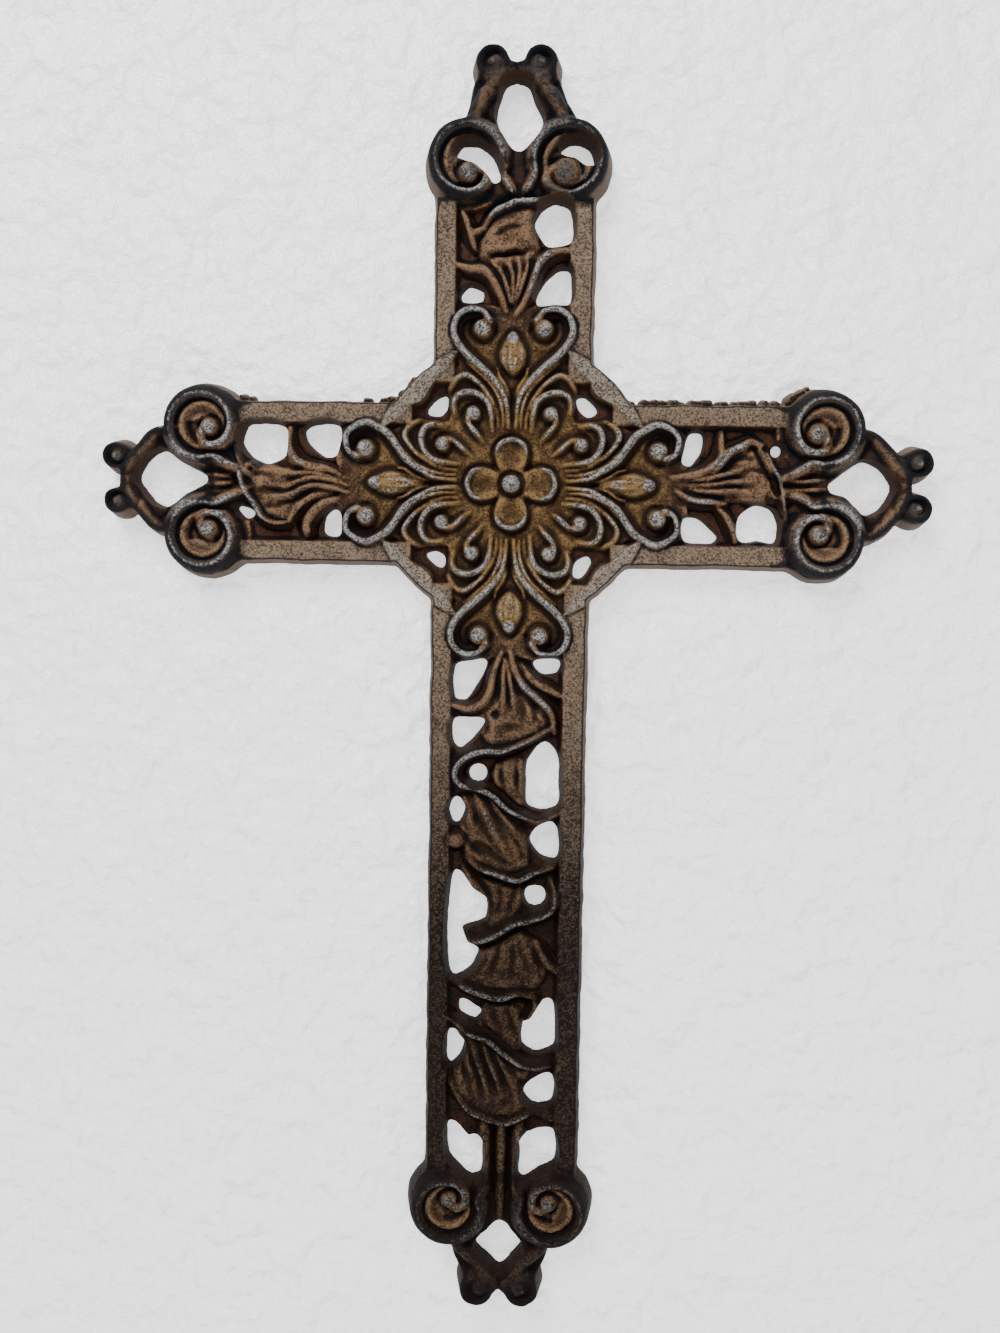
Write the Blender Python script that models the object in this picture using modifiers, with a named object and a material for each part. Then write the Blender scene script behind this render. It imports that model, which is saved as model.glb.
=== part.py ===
"""Cast iron wall cross: one pierced casting with a flat back, a rosette at the crossing,
scrolled terminals and acanthus carving along its arms.

The casting is drawn in a flat drawing frame: X to the right, Y up the wall, Z out toward the viewer,
in millimetres, with the middle of the rosette at the origin.  The finished mesh is stood upright
(+Z up, front toward -Y) with its origin at the top of the hanging eye, in the plane of the back.
"""
import math

import bmesh
import bpy
from mathutils import Matrix, Vector

# Driving dimensions, in millimetres.
MM = 0.001
WEB = 3.6                  # thickness of the pierced ground
RAIL = 6.0                 # height of the flat rails and of the ring round the rosette
DRAFT = math.tan(math.radians(10.0))   # every wall leans in by this much for each unit of height
UPRIGHT_HALF = 19.7        # half width of the upright at the back
CROSSBAR_HALF = 20.1       # half width of the crossbar at the back
RAIL_WIDTH = 6.0           # width of a rail at the back
RAIL_ROOT = 24.0           # where every rail starts, inside the ring
UPRIGHT_TOP = 68.0         # where the rails of the upright run under the upper scrolls
UPRIGHT_FOOT = -173.0      # where they run under the lower scrolls
CROSSBAR_REACH = 68.0      # where the rails of the crossbar run under the side scrolls
EYE_RISE = 26.4            # from there up to the top of the hanging eye
HANG_HEIGHT = UPRIGHT_TOP + EYE_RISE   # from the middle of the rosette up to the top of the hanging eye
RING_OUTER = 34.7          # ring round the rosette, at the back
RING_RISE = 0.5            # the ring sits this much above the middle of the rosette
RING_WIDTH = 6.0
ROSETTE_GROUND_RADIUS = 27.0
ROSETTE_GROUND = 4.6
BOSS_RADIUS = 3.0
BOSS_CREST = 9.5
SCROLL_RADIUS = 10.9       # outside of a terminal scroll, at the back
SCROLL_CREST = 9.0
SCROLL_ROLL = 2.9          # half width of the rolled edge of a scroll
KNOB_CREST = 8.4
CORNER_EASE = 0.22         # length of the rounding at each corner of an outline, as a share of its side
VOXEL = 0.42               # grain at which the carved strands are melted into one body
CARVED_FACES = 6700        # triangles kept in the carved body before it is pierced

# Every arm: its half width at the back and where its rails end.  The drawn arms are those for which the
# carving, the piercings and the terminals below are drawn; only the disc of the rosette has a fixed place.
DISC = 36.0
ARMS = {"upper": (UPRIGHT_HALF, UPRIGHT_TOP), "lower": (UPRIGHT_HALF, -UPRIGHT_FOOT),
        "left": (CROSSBAR_HALF, CROSSBAR_REACH), "right": (CROSSBAR_HALF, CROSSBAR_REACH)}
DRAWN_ARMS = {"upper": (19.7, 68.0), "lower": (19.7, 173.0), "left": (20.1, 68.0), "right": (20.1, 68.0)}

# Terminals: two scrolls, two knobs, two legs and a plate under them each.  A scroll is
# (centre x, centre y, start angle, turn in degrees, eye x, eye y, radius of its eye knob).
SCROLLS = (
    (-11.2, 75.0, -20.0, 312.0, -11.4, 72.2, 3.2),
    (12.2, 75.0, 200.0, -312.0, 11.7, 72.2, 4.2),
    (-13.1, -179.2, 20.0, -330.0, -12.8, -177.2, 3.0),
    (12.7, -179.3, 160.0, 330.0, 12.0, -177.7, 3.0),
    (-74.0, 13.2, -70.0, -340.0, -72.4, 12.6, 3.2),
    (-73.8, -13.0, 70.0, 340.0, -72.9, -11.4, 3.0),
    (73.7, 13.3, -110.0, 340.0, 72.2, 12.4, 3.6),
    (74.4, -12.2, 110.0, -340.0, 73.0, -11.0, 3.0),
)
# Knobs: (centre x, centre y, radius).
KNOBS = (
    (-5.7, 97.1, 5.2), (5.6, 96.9, 5.2),
    (-5.6, -200.0, 5.7), (5.6, -200.0, 5.7),
    (-95.0, 5.6, 4.6), (-94.8, -5.2, 4.6),
    (95.9, 5.9, 4.9), (95.8, -4.9, 4.9),
)
# Plates that tie the two scrolls of an end together: (centre x, centre y, half width, half height).
TIE_PLATE = 4.4            # thickness of those plates
TIES = (
    (0.6, 71.0, 8.0, 5.0),
    (0.0, -177.0, 8.0, 6.0),
    (-68.5, 0.0, 4.6, 9.0),
    (69.6, 0.5, 5.4, 9.0),
)
# Rolled legs between the scrolls and the knobs.
LEG_HALF = 1.7
LEG_CREST = 7.4
LEGS = (
    ((-9.8, 82.6), (-8.8, 87.4), (-6.2, 92.0), (-3.0, 95.0), (0.0, 96.6)),
    ((11.2, 82.6), (9.8, 87.4), (6.8, 92.0), (3.4, 95.0), (0.0, 96.6)),
    ((-11.4, -188.6), (-8.4, -191.4), (-5.2, -194.6), (-2.2, -197.8), (0.0, -199.6)),
    ((11.4, -188.6), (8.4, -191.4), (5.2, -194.6), (2.2, -197.8), (0.0, -199.6)),
    ((-81.5, 12.6), (-85.4, 11.6), (-88.4, 8.6), (-91.2, 5.2), (-93.0, 2.4), (-93.6, 0.2)),
    ((-81.5, -12.4), (-85.6, -11.0), (-88.6, -8.4), (-91.2, -5.0), (-93.0, -2.2), (-93.6, 0.2)),
    ((82.0, 13.0), (85.6, 12.0), (88.4, 9.0), (90.8, 5.8), (93.0, 2.8), (94.2, 0.4)),
    ((82.0, -12.4), (86.0, -11.2), (89.2, -8.4), (91.6, -5.0), (93.2, -2.0), (94.2, 0.4)),
)
CROWN_PLATE = 5.2          # thickness of the plate that joins scrolls, legs and knobs
CROWNS = (
    ((-14.0, 80.0), (-13.0, 85.4), (-11.8, 89.0), (-11.0, 93.0), (-8.6, 97.6), (0.0, 98.6), (8.6, 97.6),
     (11.2, 93.0), (12.6, 89.4), (14.8, 86.0), (16.0, 80.0), (8.0, 73.0), (-7.0, 73.0)),
    ((-13.0, -184.0), (-13.0, -190.6), (-11.8, -194.4), (-9.0, -200.0), (0.0, -202.6), (9.0, -200.0),
     (11.8, -194.4), (13.0, -190.6), (13.0, -184.0), (7.0, -177.0), (-7.0, -177.0)),
    ((-80.0, 12.4), (-85.0, 13.9), (-88.4, 12.6), (-91.0, 9.6), (-95.0, 5.0), (-95.8, 0.2), (-95.0, -4.8),
     (-90.8, -9.6), (-88.2, -12.3), (-84.8, -13.8), (-80.0, -12.0), (-71.0, -5.0), (-71.0, 5.0)),
    ((80.0, 12.4), (84.2, 14.8), (87.4, 13.6), (90.8, 10.6), (95.2, 5.2), (96.0, 0.4), (95.2, -4.6),
     (90.8, -11.0), (87.0, -13.4), (84.4, -14.0), (80.0, -12.4), (72.0, -5.0), (72.0, 5.0)),
)

# One eighth of the rosette, drawn beside the upright axis; mirrored and turned to make the whole.
# A strand is (path, half width, crest).
ROSETTE_EIGHTH = (
    (((1.6, 17.6), (2.4, 22.2), (4.8, 25.2), (8.0, 28.0), (11.4, 30.6), (13.6, 33.8), (13.9, 37.4),
      (12.0, 40.2), (8.9, 41.0), (6.4, 39.2), (6.2, 36.6), (8.2, 35.6)), 1.5, 8.4),
    (((3.3, 16.0), (4.8, 20.4), (7.0, 23.2), (10.0, 25.2), (13.0, 24.8), (14.6, 22.4)), 1.0, 7.2),
    (((4.8, 15.0), (5.7, 19.0), (8.0, 21.2), (11.0, 21.5), (13.4, 19.8), (13.5, 16.8)), 1.1, 7.6),
    (((8.9, 16.4), (9.4, 14.2), (7.4, 10.8)), 1.3, 7.8),
)
ROSETTE_BUDS = ((8.9, 16.6, 2.1, 8.2), (7.6, 37.0, 2.8, 8.6))
PETAL = (((-3.4, 5.4), (-2.8, 8.6), (0.0, 10.4), (2.8, 8.6), (3.4, 5.4)), 0.8, 7.4)
AXIS_LEAF = (0.0, 28.6, 3.5, 6.6, 7.6)
AXIS_LEAF_RIM = (((-1.6, 20.5), (-3.3, 26.5), (-2.6, 32.0), (0.0, 35.0), (2.6, 32.0), (3.3, 26.5),
                  (1.6, 20.5)), 0.9, 7.9)

# Carved strands of the arms, root first: (path, half width, crest).
UPPER_STRANDS = (
    (((-7.1, 60.3), (-5.4, 63.0), (-2.0, 64.9), (0.6, 65.7), (3.4, 65.4), (6.2, 66.0),
     (9.0, 67.6)), 1.4, 8.2),
    (((-7.2, 60.4), (-9.1, 57.4), (-9.2, 54.0), (-6.8, 51.4), (-3.6, 49.6), (-2.0, 46.0),
     (-1.0, 41.5)), 1.0, 7.0),
    (((12.8, 54.8), (9.6, 54.4), (6.8, 52.4), (4.8, 49.4), (3.6, 45.4), (0.8, 40.4)), 1.2, 7.4),
    (((-13.6, 51.2), (-10.4, 50.2), (-7.0, 49.8), (-4.6, 47.4), (-3.0, 43.8), (-1.6, 39.6)), 1.1, 7.0),
    (((-12.6, 64.4), (-11.2, 60.4), (-10.0, 56.0)), 1.2, 6.8),
    (((-0.4, 54.4), (0.2, 49.0), (0.4, 44.0), (0.0, 40.0)), 1.3, 7.4),
    (((4.4, 60.5), (5.4, 57.0), (7.4, 54.2)), 1.2, 6.6),
)
LEFT_STRANDS = (
    (((-66.4, 8.4), (-65.4, 4.2), (-65.2, 0.6), (-63.6, -3.0), (-61.2, -6.6), (-58.2, -9.4),
     (-54.4, -9.8)), 1.3, 7.8),
    (((-53.4, 12.8), (-53.2, 8.6), (-51.4, 5.2), (-47.2, 3.4), (-42.4, 2.4), (-37.8, 0.8)), 1.3, 7.4),
    (((-57.8, -0.8), (-53.0, -1.0), (-48.6, 0.8), (-43.4, 0.6), (-38.2, -0.6)), 1.1, 7.4),
    (((-57.6, -4.6), (-52.0, -3.2), (-47.0, -0.9), (-42.4, -1.6), (-38.4, -2.2)), 1.1, 7.2),
    (((-53.6, -8.8), (-51.2, -6.2), (-47.6, -3.6), (-42.0, -2.8)), 1.2, 7.0),
    (((-49.4, -12.6), (-49.4, -10.2), (-47.6, -7.0), (-44.4, -4.8), (-40.0, -3.4)), 1.2, 6.8),
)
RIGHT_STRANDS = (
    (((49.6, 12.6), (49.4, 7.8), (47.8, 5.2), (45.0, 3.4), (41.0, 2.4), (37.4, 1.6)), 1.3, 7.4),
    (((50.2, -4.2), (47.4, -3.8), (43.8, -3.4), (40.8, -2.2), (38.2, -0.4)), 1.2, 7.4),
    (((58.6, 0.8), (52.0, 1.4), (46.0, 1.2), (38.6, 0.6)), 1.2, 7.4),
    (((53.8, -12.6), (52.8, -9.4), (51.4, -6.4), (49.2, -4.4)), 1.0, 6.8),
    (((59.4, 10.2), (56.6, 10.8), (53.6, 9.6), (50.6, 7.2), (47.8, 4.6)), 1.2, 7.4),
    (((60.2, 8.4), (62.0, 4.4), (63.6, 0.8), (64.4, -3.2), (65.8, -7.6)), 1.1, 7.4),
)
LOWER_STRANDS = (
    (((-13.6, -53.6), (-9.4, -54.4), (-6.0, -53.0), (-4.2, -50.0), (-3.2, -45.0), (-1.6, -40.0)), 1.1, 7.2),
    (((11.2, -58.6), (10.4, -54.0), (7.0, -51.2), (3.6, -48.4), (1.4, -44.6), (0.4, -40.0)), 1.1, 7.4),
    (((12.8, -50.6), (9.6, -49.2), (6.2, -47.6), (3.0, -43.8)), 1.2, 6.6),
    (((0.8, -55.0), (0.4, -49.4), (-0.4, -44.2), (-0.2, -40.0)), 1.2, 7.4),
    (((8.0, -59.8), (5.0, -61.8), (2.0, -63.4), (-1.4, -64.6), (-5.0, -64.4), (-8.8, -65.4), (-11.8, -67.8),
      (-12.4, -70.6), (-10.8, -72.8), (-7.2, -73.4), (-3.4, -75.0), (0.2, -78.4), (4.2, -80.2),
      (8.0, -81.3),
      (12.2, -79.6)), 1.5, 8.2),
    (((2.4, -67.4), (3.2, -70.0), (3.4, -74.0)), 1.2, 6.4),
    (((-8.4, -75.0), (-5.0, -79.8), (-2.4, -84.4), (0.4, -90.0)), 1.6, 7.2),
    (((-9.4, -91.2), (-6.4, -93.4), (-2.0, -94.6), (2.8, -96.0), (6.8, -94.2), (11.8, -92.6)), 1.4, 8.2),
    (((-9.6, -95.0), (-7.0, -98.4), (-4.8, -102.0)), 1.2, 6.4),
    (((11.0, -95.4), (12.0, -99.6), (11.4, -103.8), (7.0, -105.8), (2.4, -106.8), (-2.8, -110.2),
     (-7.2, -111.4),
      (-10.0, -109.0)), 1.4, 8.0),
    (((8.2, -112.4), (9.6, -114.8), (12.8, -118.2)), 1.2, 6.8),
    (((-14.4, -121.2), (-10.4, -122.6), (-6.2, -124.4), (-1.0, -125.4), (3.4, -124.4),
     (7.2, -125.2)), 1.4, 8.0),
    (((7.0, -124.6), (7.8, -127.4), (5.8, -130.4)), 1.3, 6.6),
    (((-15.0, -130.4), (-11.8, -132.0), (-8.4, -135.0), (-3.6, -136.2), (0.4, -139.6), (4.4, -142.4),
      (11.6, -142.4)), 1.4, 7.8),
    (((-8.6, -135.4), (-6.6, -142.0), (-4.0, -149.0), (-3.0, -153.0)), 1.2, 7.2),
    (((-5.4, -136.0), (-2.4, -143.0), (0.6, -148.0), (2.8, -152.0)), 1.2, 7.2),
    (((-10.8, -150.2), (-8.0, -154.0), (-3.6, -156.2), (1.6, -157.0), (5.4, -155.2), (8.6, -154.8),
     (12.4, -156.4)), 1.4, 7.8),
)
# Swelling bodies of the leaves: (centre x, centre y, half width, half height, crest, turn in degrees).
LEAF_BODIES = (
    (-1.6, 57.6, 7.2, 6.6, 6.6, 0.0),
    (-56.6, -1.6, 6.8, 6.4, 6.6, 0.0),
    (56.2, 2.8, 6.4, 6.4, 6.6, 0.0),
    (0.8, -57.0, 8.0, 6.4, 6.6, 0.0),
    (-2.0, -86.6, 7.4, 7.4, 6.4, 20.0),
    (-0.6, -103.2, 5.0, 6.4, 6.0, 0.0),
    (-0.6, -118.0, 8.4, 7.6, 6.6, 0.0),
    (-1.6, -149.0, 7.6, 8.2, 6.4, 0.0),
    (-12.2, -86.6, 2.4, 2.4, 6.6, 0.0),
    (-10.8, -147.0, 2.6, 4.6, 5.8, -15.0),
)
STEM_FLUTES = (-3.5, 0.0, 3.5)   # places of the three rounded ribs of the lower stem
STEM_FLUTE_HALF = 1.25
STEM_FLUTE_CREST = 6.6
STEM_TOP = -156.0
STEM_FOOT = -182.0

# Piercings, drawn as they leave the back: each outline is rounded through its points.
PIERCINGS = (
    ("hanging_eye", ((0.0, 94.4), (-2.4, 93.2), (-3.6, 90.4), (-4.6, 85.9), (-2.4, 82.0), (0.3, 78.8),
                     (3.4, 81.2), (5.8, 85.5), (3.9, 89.6), (2.6, 93.3))),
    ("scroll_upper_left", ((-14.0, 77.3), (-12.4, 79.6), (-9.0, 79.6), (-5.8, 77.4), (-4.0, 73.0),
                           (-4.8, 71.2),
                           (-6.6, 73.4), (-10.0, 76.0))),
    ("scroll_upper_right", ((10.7, 78.4), (13.6, 80.3), (17.0, 79.0), (18.3, 75.6), (17.2, 75.2),
                            (14.0, 77.2))),
    ("upper_leaf_right", ((4.8, 61.8), (6.6, 64.6), (9.4, 66.2), (12.6, 65.2), (13.2, 61.6),
                          (12.9, 57.8), (8.0, 57.0), (6.4, 58.8))),
    ("upper_left_foot", ((-12.4, 45.0), (-10.6, 46.8), (-7.6, 45.8), (-8.0, 43.9), (-12.0, 43.8))),
    ("upper_right_foot", ((5.8, 43.4), (7.4, 47.4), (10.4, 50.5), (12.9, 50.5), (13.2, 47.2),
                          (13.1, 43.6), (9.4, 43.6))),
    ("north_east", ((15.6, 20.6), (17.4, 20.8), (20.1, 17.8), (18.2, 16.7), (16.2, 18.2))),
    ("north_west", ((-20.3, 17.3), (-18.0, 20.2), (-16.1, 20.8), (-16.1, 18.2), (-17.6, 16.7))),
    ("south_west", ((-20.3, -17.2), (-18.4, -16.5), (-16.4, -17.6), (-16.8, -19.8))),
    ("south_east", ((15.7, -21.6), (16.0, -18.6), (18.6, -17.2), (19.4, -18.6), (17.2, -21.8))),
    ("left_far", ((-65.4, 9.6), (-64.0, 13.4), (-59.4, 13.9), (-55.4, 13.0), (-55.4, 6.9), (-59.8, 4.9),
                  (-63.4, 6.7))),
    ("left_near", ((-49.8, 12.4), (-45.4, 14.1), (-42.0, 13.4), (-42.8, 7.3), (-45.0, 6.6), (-48.4, 9.0))),
    ("left_slit", ((-66.5, -6.3), (-64.6, -6.4), (-63.0, -7.6), (-64.6, -8.5))),
    ("left_low", ((-45.4, -11.4), (-44.8, -8.2), (-42.6, -6.8), (-41.9, -9.6), (-42.2, -12.2),
                  (-44.4, -12.3))),
    ("crown_left", ((-90.6, 0.4), (-88.4, 4.9), (-84.6, 6.9), (-80.8, 4.1), (-75.0, 1.3), (-74.6, 0.2),
                    (-79.4, -2.4),
                    (-84.4, -5.9), (-87.2, -4.4))),
    ("right_near", ((42.8, 12.5), (45.2, 12.4), (45.2, 9.0), (43.0, 5.6), (41.4, 6.0), (41.9, 9.6))),
    ("right_low", ((41.9, -7.6), (45.2, -7.7), (49.5, -11.8), (48.4, -12.9), (42.4, -12.7))),
    ("right_far", ((55.2, -7.2), (58.8, -4.5), (62.6, -5.4), (64.1, -8.9), (63.4, -12.8), (59.4, -12.3),
                   (55.4, -12.3))),
    ("crown_right", ((76.4, 0.3), (80.8, 4.3), (84.2, 6.3), (88.4, 4.1), (90.8, 0.2), (88.2, -4.2),
                     (85.2, -5.6),
                     (80.4, -1.5))),
    ("lower_top_left", ((-12.8, -44.0), (-9.0, -43.0), (-5.7, -42.8), (-6.8, -46.4), (-10.4, -51.9),
                        (-12.8, -51.6))),
    ("lower_top_right", ((6.2, -43.0), (9.0, -42.3), (12.2, -42.7), (11.4, -45.2), (8.0, -45.3))),
    ("lower_b", ((-13.0, -57.4), (-9.6, -57.1), (-6.0, -57.4), (-6.8, -59.2), (-11.4, -63.9),
                 (-13.1, -62.6))),
    ("lower_d", ((9.2, -62.7), (12.2, -66.2), (12.3, -72.0), (12.2, -77.8), (8.4, -79.0), (5.4, -77.8),
                 (5.1, -72.4), (5.2, -67.2))),
    ("lower_f", ((-12.3, -76.9), (-10.6, -79.2), (-12.4, -82.9), (-14.0, -79.6))),
    ("lower_g", ((11.0, -82.7), (12.4, -84.4), (12.3, -91.0), (8.6, -90.4), (6.1, -87.0), (7.4, -84.3))),
    ("lower_h", ((-12.2, -95.2), (-8.6, -99.2), (-5.2, -101.7), (-5.2, -106.9), (-10.9, -109.2),
                 (-9.8, -112.6),
                 (-6.9, -114.9), (-8.4, -118.6), (-12.4, -121.2), (-13.7, -117.0), (-13.7, -104.0))),
    ("lower_j", ((-10.2, -127.9), (-5.9, -130.7), (-7.2, -132.4), (-10.7, -130.8))),
    ("lower_k", ((-12.8, -135.6), (-10.0, -138.4), (-11.2, -142.2), (-13.3, -143.9), (-13.8, -139.4))),
    ("lower_l", ((11.2, -127.2), (12.6, -131.6), (12.5, -138.6), (8.4, -140.6), (5.1, -138.8),
                 (5.2, -133.4),
                 (7.6, -131.6))),
    ("lower_m", ((11.4, -146.3), (12.7, -149.0), (12.0, -153.4), (8.0, -153.9), (5.7, -151.6),
                 (6.8, -149.0))),
    ("lower_n", ((-12.7, -159.2), (-8.6, -163.0), (-5.6, -162.9), (-5.3, -167.4), (-5.4, -172.4),
                 (-7.6, -173.0),
                 (-12.4, -168.4), (-13.2, -164.4))),
    ("lower_o", ((5.1, -163.0), (9.0, -160.9), (12.3, -160.6), (13.3, -164.6), (13.0, -168.6),
                 (9.4, -170.8), (5.3, -173.2),
                 (5.1, -168.4))),
    ("foot_crown", ((0.0, -184.4), (2.2, -186.6), (5.2, -190.8), (2.8, -193.8), (0.0, -196.6),
                    (-3.2, -193.8), (-6.0, -190.8),
                     (-2.4, -186.8))),
)
TERMINAL_PIERCINGS = ("hanging_eye", "scroll_upper_left", "scroll_upper_right", "crown_left", "crown_right",
                      "foot_crown")
# Round piercings: (name, centre x, centre y, radius).
ROUND_PIERCINGS = (
    ("right_small", 63.4, 8.8, 1.1),
    ("lower_e", -7.2, -70.5, 1.8),
    ("lower_i", 7.4, -101.0, 2.25),
)


def clear_scene():
    """Remove whatever the scene starts with."""
    for item in list(bpy.data.objects):
        bpy.data.objects.remove(item, do_unlink=True)


def make_collection(name):
    """Make a collection and hang it in the scene."""
    group = bpy.data.collections.new(name)
    bpy.context.scene.collection.children.link(group)
    return group


def add_mesh(store, mesh):
    """Pour a mesh into the store and drop the mesh."""
    store.from_mesh(mesh)
    bpy.data.meshes.remove(mesh)


def tapered_bar(store, left, right, low, high, height):
    """Bar on the back plane, its four walls leaning in by the draft."""
    bar = bmesh.new()
    bmesh.ops.create_cube(bar, size=1.0)
    for corner in bar.verts:
        lean = DRAFT * height if corner.co.z > 0.0 else 0.0
        corner.co.x = (right - lean if corner.co.x > 0.0 else left + lean) * MM
        corner.co.y = (high - lean if corner.co.y > 0.0 else low + lean) * MM
        corner.co.z = (height if corner.co.z > 0.0 else -1.0) * MM
    mesh = bpy.data.meshes.new("bar")
    bar.to_mesh(mesh)
    bar.free()
    add_mesh(store, mesh)


def tapered_disc(store, x, y, radius, height, segments=40):
    """Round plate on the back plane, its wall leaning in by the draft."""
    disc = bmesh.new()
    place = Matrix.Translation(Vector((x, y, 0.5 * (height - 1.0))) * MM)
    bmesh.ops.create_cone(disc, cap_ends=True, segments=segments, radius1=(radius + DRAFT) * MM,
                          radius2=(radius - DRAFT * height) * MM, depth=(height + 1.0) * MM, matrix=place)
    mesh = bpy.data.meshes.new("disc")
    disc.to_mesh(mesh)
    disc.free()
    add_mesh(store, mesh)


def dome(store, x, y, half_x, half_y, crest, turn=0.0):
    """Half of an egg standing on the back plane."""
    egg = bmesh.new()
    place = (Matrix.Translation(Vector((x, y, 0.0)) * MM) @ Matrix.Rotation(math.radians(turn), 4, "Z")
             @ Matrix.Diagonal((half_x * MM, half_y * MM, crest * MM, 1.0)))
    bmesh.ops.create_uvsphere(egg, u_segments=24, v_segments=16, radius=1.0, matrix=place)
    mesh = bpy.data.meshes.new("egg")
    egg.to_mesh(mesh)
    egg.free()
    add_mesh(store, mesh)


def strand_profile(half, depth, flat):
    """Section of a strand: a rounded crest at zero height on leaning sides that reach down by a depth."""
    shoulder = 0.95 if flat else 0.55
    section = bpy.data.curves.new("section", "CURVE")
    section.dimensions = "2D"
    line = section.splines.new("POLY")
    foot = half + DRAFT * depth * 0.6
    ring = ((-foot, -depth), (-half, -0.65 * half), (-shoulder * half, -0.14 * half), (0.0, 0.0),
            (shoulder * half, -0.14 * half), (half, -0.65 * half), (foot, -depth))
    if flat:
        ring = ((-half - DRAFT * depth, -depth), (-half, 0.0), (half, 0.0), (half + DRAFT * depth, -depth))
    line.points.add(len(ring) - 1)
    for knot, (across, up) in zip(line.points, ring):
        knot.co = (across * MM, up * MM, 0.0, 1.0)
    line.use_cyclic_u = True
    shape = bpy.data.objects.new("section", section)
    bpy.context.scene.collection.objects.link(shape)
    return shape


def strand(store, path, half, crest, ends=(0.35, 0.6), flat=False, steps=4):
    """Strand swept along a smooth path; its two ends thin out and sink by the given shares.

    The crest sinks with the width, so that a thinned end always stays rooted in the ground.
    """
    section = strand_profile(half, crest + 0.5, flat)
    data = bpy.data.curves.new("strand", "CURVE")
    data.dimensions = "3D"
    data.twist_mode = "Z_UP"
    data.resolution_u = steps
    data.bevel_mode = "OBJECT"
    data.bevel_object = section
    data.use_fill_caps = True
    line = data.splines.new("BEZIER")
    line.bezier_points.add(len(path) - 1)
    last = len(path) - 1
    for index, (knot, (x, y)) in enumerate(zip(line.bezier_points, path)):
        share = index / last
        fade = min(1.0, ends[0] + (1.0 - ends[0]) * share / 0.28,
                   ends[1] + (1.0 - ends[1]) * (1.0 - share) / 0.28)
        level = 1.5 + (crest - 1.5) * fade
        knot.co = (x * MM, y * MM, level * MM)
        knot.handle_left_type = "AUTO"
        knot.handle_right_type = "AUTO"
        knot.radius = fade
    carrier = bpy.data.objects.new("strand", data)
    bpy.context.scene.collection.objects.link(carrier)
    graph = bpy.context.evaluated_depsgraph_get()
    graph.update()
    mesh = bpy.data.meshes.new_from_object(carrier.evaluated_get(graph))
    bpy.data.objects.remove(carrier, do_unlink=True)
    bpy.data.objects.remove(section, do_unlink=True)
    weld = bmesh.new()
    weld.from_mesh(mesh)
    bmesh.ops.remove_doubles(weld, verts=weld.verts, dist=0.000001)
    bmesh.ops.recalc_face_normals(weld, faces=weld.faces)
    weld.to_mesh(mesh)
    weld.free()
    add_mesh(store, mesh)


def rounded_prism(name, points, steps, height, behind, lean):
    """Prism on a rounded outline given at the back plane.

    Its walls spread with height by the draft times the lean, and it reaches behind the plane as well.
    """
    data = bpy.data.curves.new(name, "CURVE")
    data.dimensions = "2D"
    data.fill_mode = "BOTH"
    data.resolution_u = steps
    data.extrude = 0.5 * (height + behind) * MM
    line = data.splines.new("BEZIER")
    line.bezier_points.add(len(points) - 1)
    line.use_cyclic_u = True
    corners = [Vector((x, y, 0.0)) * MM for x, y in points]
    for index, knot in enumerate(line.bezier_points):
        before, here, after = corners[index - 1], corners[index], corners[(index + 1) % len(corners)]
        heading = (after - before).normalized()
        knot.handle_left_type = "FREE"
        knot.handle_right_type = "FREE"
        knot.co = here
        knot.handle_left = here - heading * CORNER_EASE * (here - before).length
        knot.handle_right = here + heading * CORNER_EASE * (after - here).length
    carrier = bpy.data.objects.new(name, data)
    bpy.context.scene.collection.objects.link(carrier)
    graph = bpy.context.evaluated_depsgraph_get()
    graph.update()
    mesh = bpy.data.meshes.new_from_object(carrier.evaluated_get(graph))
    bpy.data.objects.remove(carrier, do_unlink=True)
    body = bmesh.new()
    body.from_mesh(mesh)
    bmesh.ops.remove_doubles(body, verts=body.verts, dist=0.000001)
    middle = sum(corners, Vector()) / len(corners)
    spread = sum((corner - middle).length for corner in corners) / len(corners) / MM
    for corner in body.verts:
        level = height if corner.co.z > 0.0 else -behind
        grown = 1.0 + lean * DRAFT * level / spread
        corner.co.x = middle.x + (corner.co.x - middle.x) * grown
        corner.co.y = middle.y + (corner.co.y - middle.y) * grown
        corner.co.z = level * MM
    bmesh.ops.recalc_face_normals(body, faces=body.faces)
    body.to_mesh(mesh)
    body.free()
    mesh.name = name
    return mesh


def turned(path, angle, mirror):
    """Copy of a path turned about the rosette's middle, mirrored across the upright first when asked."""
    side = -1.0 if mirror else 1.0
    turn = math.radians(angle)
    return tuple((side * x * math.cos(turn) - y * math.sin(turn),
                  side * x * math.sin(turn) + y * math.cos(turn))
                 for x, y in path)


def scroll(store, x, y, start, turn, eye_x, eye_y, eye):
    """Terminal scroll: a dished plate, a rolled edge that winds inward and a knob at its eye."""
    tapered_disc(store, x, y, SCROLL_RADIUS, 5.0)
    outer = SCROLL_RADIUS - SCROLL_ROLL - 0.9
    inner = eye + 1.4
    knots = 15
    path = []
    for step in range(knots):
        share = step / (knots - 1)
        drift = share ** 2.6
        reach = outer - (outer - inner) * drift
        angle = math.radians(start + turn * share)
        path.append((x + (eye_x - x) * drift + reach * math.cos(angle),
                     y + (eye_y - y) * drift + reach * math.sin(angle)))
    strand(store, path, 0.78 * SCROLL_ROLL, SCROLL_CREST, ends=(0.8, 0.6), steps=3)
    dome(store, eye_x, eye_y, eye + 0.4, eye + 0.4, SCROLL_CREST - 0.8)


def arm_of(x, y):
    """Name of the arm on which a point lies."""
    if abs(y) > abs(x):
        return "upper" if y > 0.0 else "lower"
    return "right" if x > 0.0 else "left"


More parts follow.
